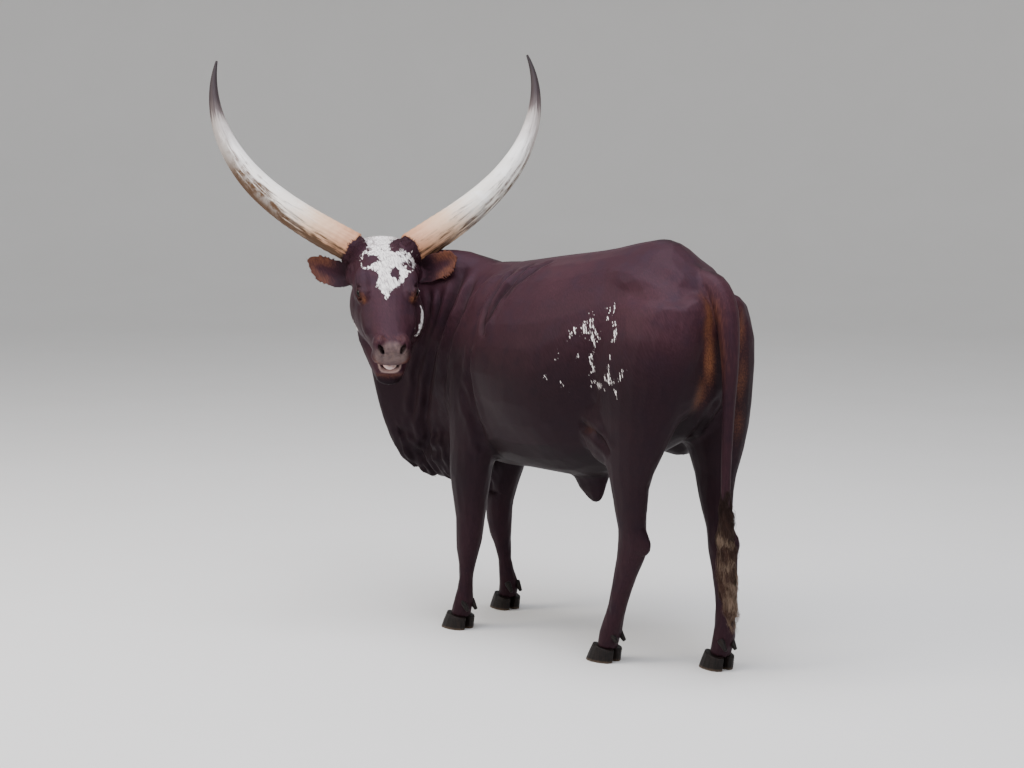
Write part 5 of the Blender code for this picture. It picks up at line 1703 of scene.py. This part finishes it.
def switch_strands(name, count, seed):
    """Long strands in wavy locks that start round the tail and run down inside the switch."""
    rng = np.random.default_rng(seed)
    rings = 11
    lock = rng.integers(0, LOCKS, count)
    lock_angle = rng.uniform(0, 2 * pi, LOCKS)
    lock_start = rng.uniform(0.0, 0.60, LOCKS) ** 1.1
    lock_wave = rng.uniform(0.009, 0.018, LOCKS)
    lock_phase = rng.uniform(0, 2 * pi, LOCKS)
    lock_pitch = rng.uniform(24.0, 40.0, LOCKS)
    lock_tone = rng.uniform(0, 1, LOCKS)
    start = np.clip(lock_start[lock] + rng.normal(0, 0.05, count), 0, 0.66)
    end = np.clip(start + rng.uniform(0.32, 0.50, count), 0, 1.0)
    angle = lock_angle[lock] + rng.normal(0, 0.30, count)
    spread = np.sqrt(rng.uniform(0.10, 1.0, count))
    own_phase = rng.normal(0, 0.30, count)
    own_wave = rng.uniform(0.4, 1.4, count)
    half = rng.uniform(0.0005, 0.0011, count)
    verts = np.zeros((count, rings * 3 + 1, 3))
    stations = np.linspace(0, 1, len(SWITCH_LINE))
    for ring in range(rings + 1):
        share = ring / rings
        down = start + (end - start) * share
        centre = np.stack([np.interp(down, stations, SWITCH_LINE[:, k]) for k in range(3)], 1)
        gather = 1 - 0.25 * share ** 2
        reach = np.interp(down, stations, SWITCH_REACH) * spread * gather
        turn = angle + 0.35 * np.sin(lock_phase[lock] + share * 3)
        out = np.stack([np.cos(turn), np.sin(turn), np.zeros(count)], 1)
        side = np.stack([-np.sin(turn), np.cos(turn), np.zeros(count)], 1)
        swing = np.sin(lock_phase[lock] + own_phase + down * lock_pitch[lock])
        swing = swing * lock_wave[lock] * own_wave
        swing = swing * smooth_step(0.0, 0.4, np.full(count, share))
        spot = centre + out * (reach + 0.4 * swing)[:, None] + side * swing[:, None]
        if ring == rings:
            verts[:, -1] = spot
            break
        thick = half * (1 - share ** 2) * (0.5 + 0.5 * min(share * 5, 1))
        set_ring(verts, ring, spot, side, thick, out, 0.8)
    place = np.stack([0.05 + 0.9 * (angle % (2 * pi)) / (2 * pi), 0.05 + 0.9 * start], 1)
    reach_down = np.tile(np.append(np.repeat(np.arange(rings), 3), rings) / rings, count)
    per = rings * 3 + 1
    return sliver_mesh(name, verts, rings, place, {
        "tone": np.repeat(rng.uniform(0, 1, count), per),
        "lock": np.repeat(lock_tone[lock], per),
        "down": np.repeat(start, per) + reach_down * np.repeat(end - start, per),
    })


switch = switch_strands("switch_strands", 3000, 21)
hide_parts("tail_switch")
switch_matter, tree, shader = new_material("long_tail_hair")
down = add(tree, "Attribute", out="Fac", attribute_name="down")
lock_tone = add(tree, "Attribute", out="Fac", attribute_name="lock")
own_tone = add(tree, "Attribute", out="Fac", attribute_name="tone")
browned = add(tree, "Math", {0: own_tone, 1: 0.40, 2: down}, operation="MULTIPLY_ADD")
brown = add(tree, "MapRange", {"Value": browned, "From Min": 0.35, "From Max": 0.95}, **STEP)
tone = add(tree, "Mix", {0: brown, 6: linear("#22130f"), 7: linear("#4a342b")}, **COLOURS)
# Painted highlights: whole strands of some lower locks turn pale for the light on the curls.
curl_highlight = add(tree, "Math", {0: own_tone, 1: 0.45, 2: lock_tone}, operation="MULTIPLY_ADD")
pale = add(tree, "MapRange", {"Value": curl_highlight, "From Min": 0.75, "From Max": 1.25}, **STEP)
lower = add(tree, "MapRange", {"Value": down, "From Min": 0.24, "From Max": 0.46}, **STEP)
pale = add(tree, "Math", {0: pale, 1: lower}, operation="MULTIPLY")
tone = add(tree, "Mix", {0: pale, 6: tone, 7: linear("#86715f")}, **COLOURS)
tree.links.new(tone, shader.inputs["Base Color"])
shader.inputs["Roughness"].default_value = 0.50
shader.inputs["Specular IOR Level"].default_value = 0.18
dress(switch, switch_matter)
print("switch triangles", triangles_in(switch.data))

# %% [markdown]
# ## Floor and light
# A pale studio sweep: a round floor whose edge curves up into a wall, so that no horizon shows from
# any side. Big soft lamps stand for a bright overcast sky: the main one high on the camera's left.

# %% Studio
bm = bmesh.new()
profile = [bm.verts.new((x, 0, z)) for x, z in (
    (0.01, 0), (6, 0), (13, 0), (15.5, 0.4), (17.5, 1.5), (19, 3.6), (19.6, 6.5), (19.8, 12.0))]
for first, second in zip(profile, profile[1:]):
    bm.edges.new((first, second))
bmesh.ops.spin(bm, geom=bm.verts[:] + bm.edges[:], cent=(0, 0, 0), axis=(0, 0, 1),
               angle=2 * pi, steps=96, use_merge=True)
bmesh.ops.remove_doubles(bm, verts=bm.verts, dist=1e-4)
centre_hole = [edge for edge in bm.edges if edge.is_boundary and edge.verts[0].co.length < 1]
bmesh.ops.holes_fill(bm, edges=centre_hole, sides=100)
rounded_outwards(bm)
floor = mesh_from("studio_floor", bm)
paper, tree, shader = new_material("matt_paper_sweep")
place = add(tree, "TexCoord", out="Object")
cloudy = add(tree, "TexNoise", {"Vector": place, "Scale": 1.5, "Detail": 2.0})
tone = add(tree, "Mix", {0: cloudy, 6: linear("#e7e5e1"), 7: linear("#ebe9e6")}, **COLOURS)
tree.links.new(tone, shader.inputs["Base Color"])
shader.inputs["Roughness"].default_value = 0.9
dress(floor, paper)
floor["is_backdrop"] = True


def soft_lamp(name, place, target, size, power, colour):
    """A square soft lamp aimed at a place."""
    data = bpy.data.lights.new(name, "AREA")
    data.shape = "SQUARE"
    data.size = size
    data.energy = power
    data.color = linear(colour)[:3]
    lamp = bpy.data.objects.new(name, data)
    bpy.context.scene.collection.objects.link(lamp)
    lamp.location = place
    lamp.rotation_euler = (Vector(target) - Vector(place)).to_track_quat("-Z", "Y").to_euler()
    return lamp


soft_lamp("sky_lamp", (-1.0, 1.5, 7.0), (0, 0, 0.8), 6.0, 760, "#f4f6ff")
soft_lamp("key_lamp", (3.5, 6.5, 5.5), (0.2, 0, 1.0), 3.5, 380, "#fff6ea")
soft_lamp("fill_lamp", (-7.0, 2.0, 3.5), (0, 0, 1.0), 4.0, 110, "#f2f5ff")
world = bpy.data.worlds.new("studio_air")
world.use_nodes = True
world.node_tree.nodes["Background"].inputs["Color"].default_value = linear("#e8ebf0")
world.node_tree.nodes["Background"].inputs["Strength"].default_value = 0.60
bpy.context.scene.world = world

# %% [markdown]
# ## Sizes and finish
# The dressed model's box is printed.

# %% Print the sizes
print("visual box", plain_box())
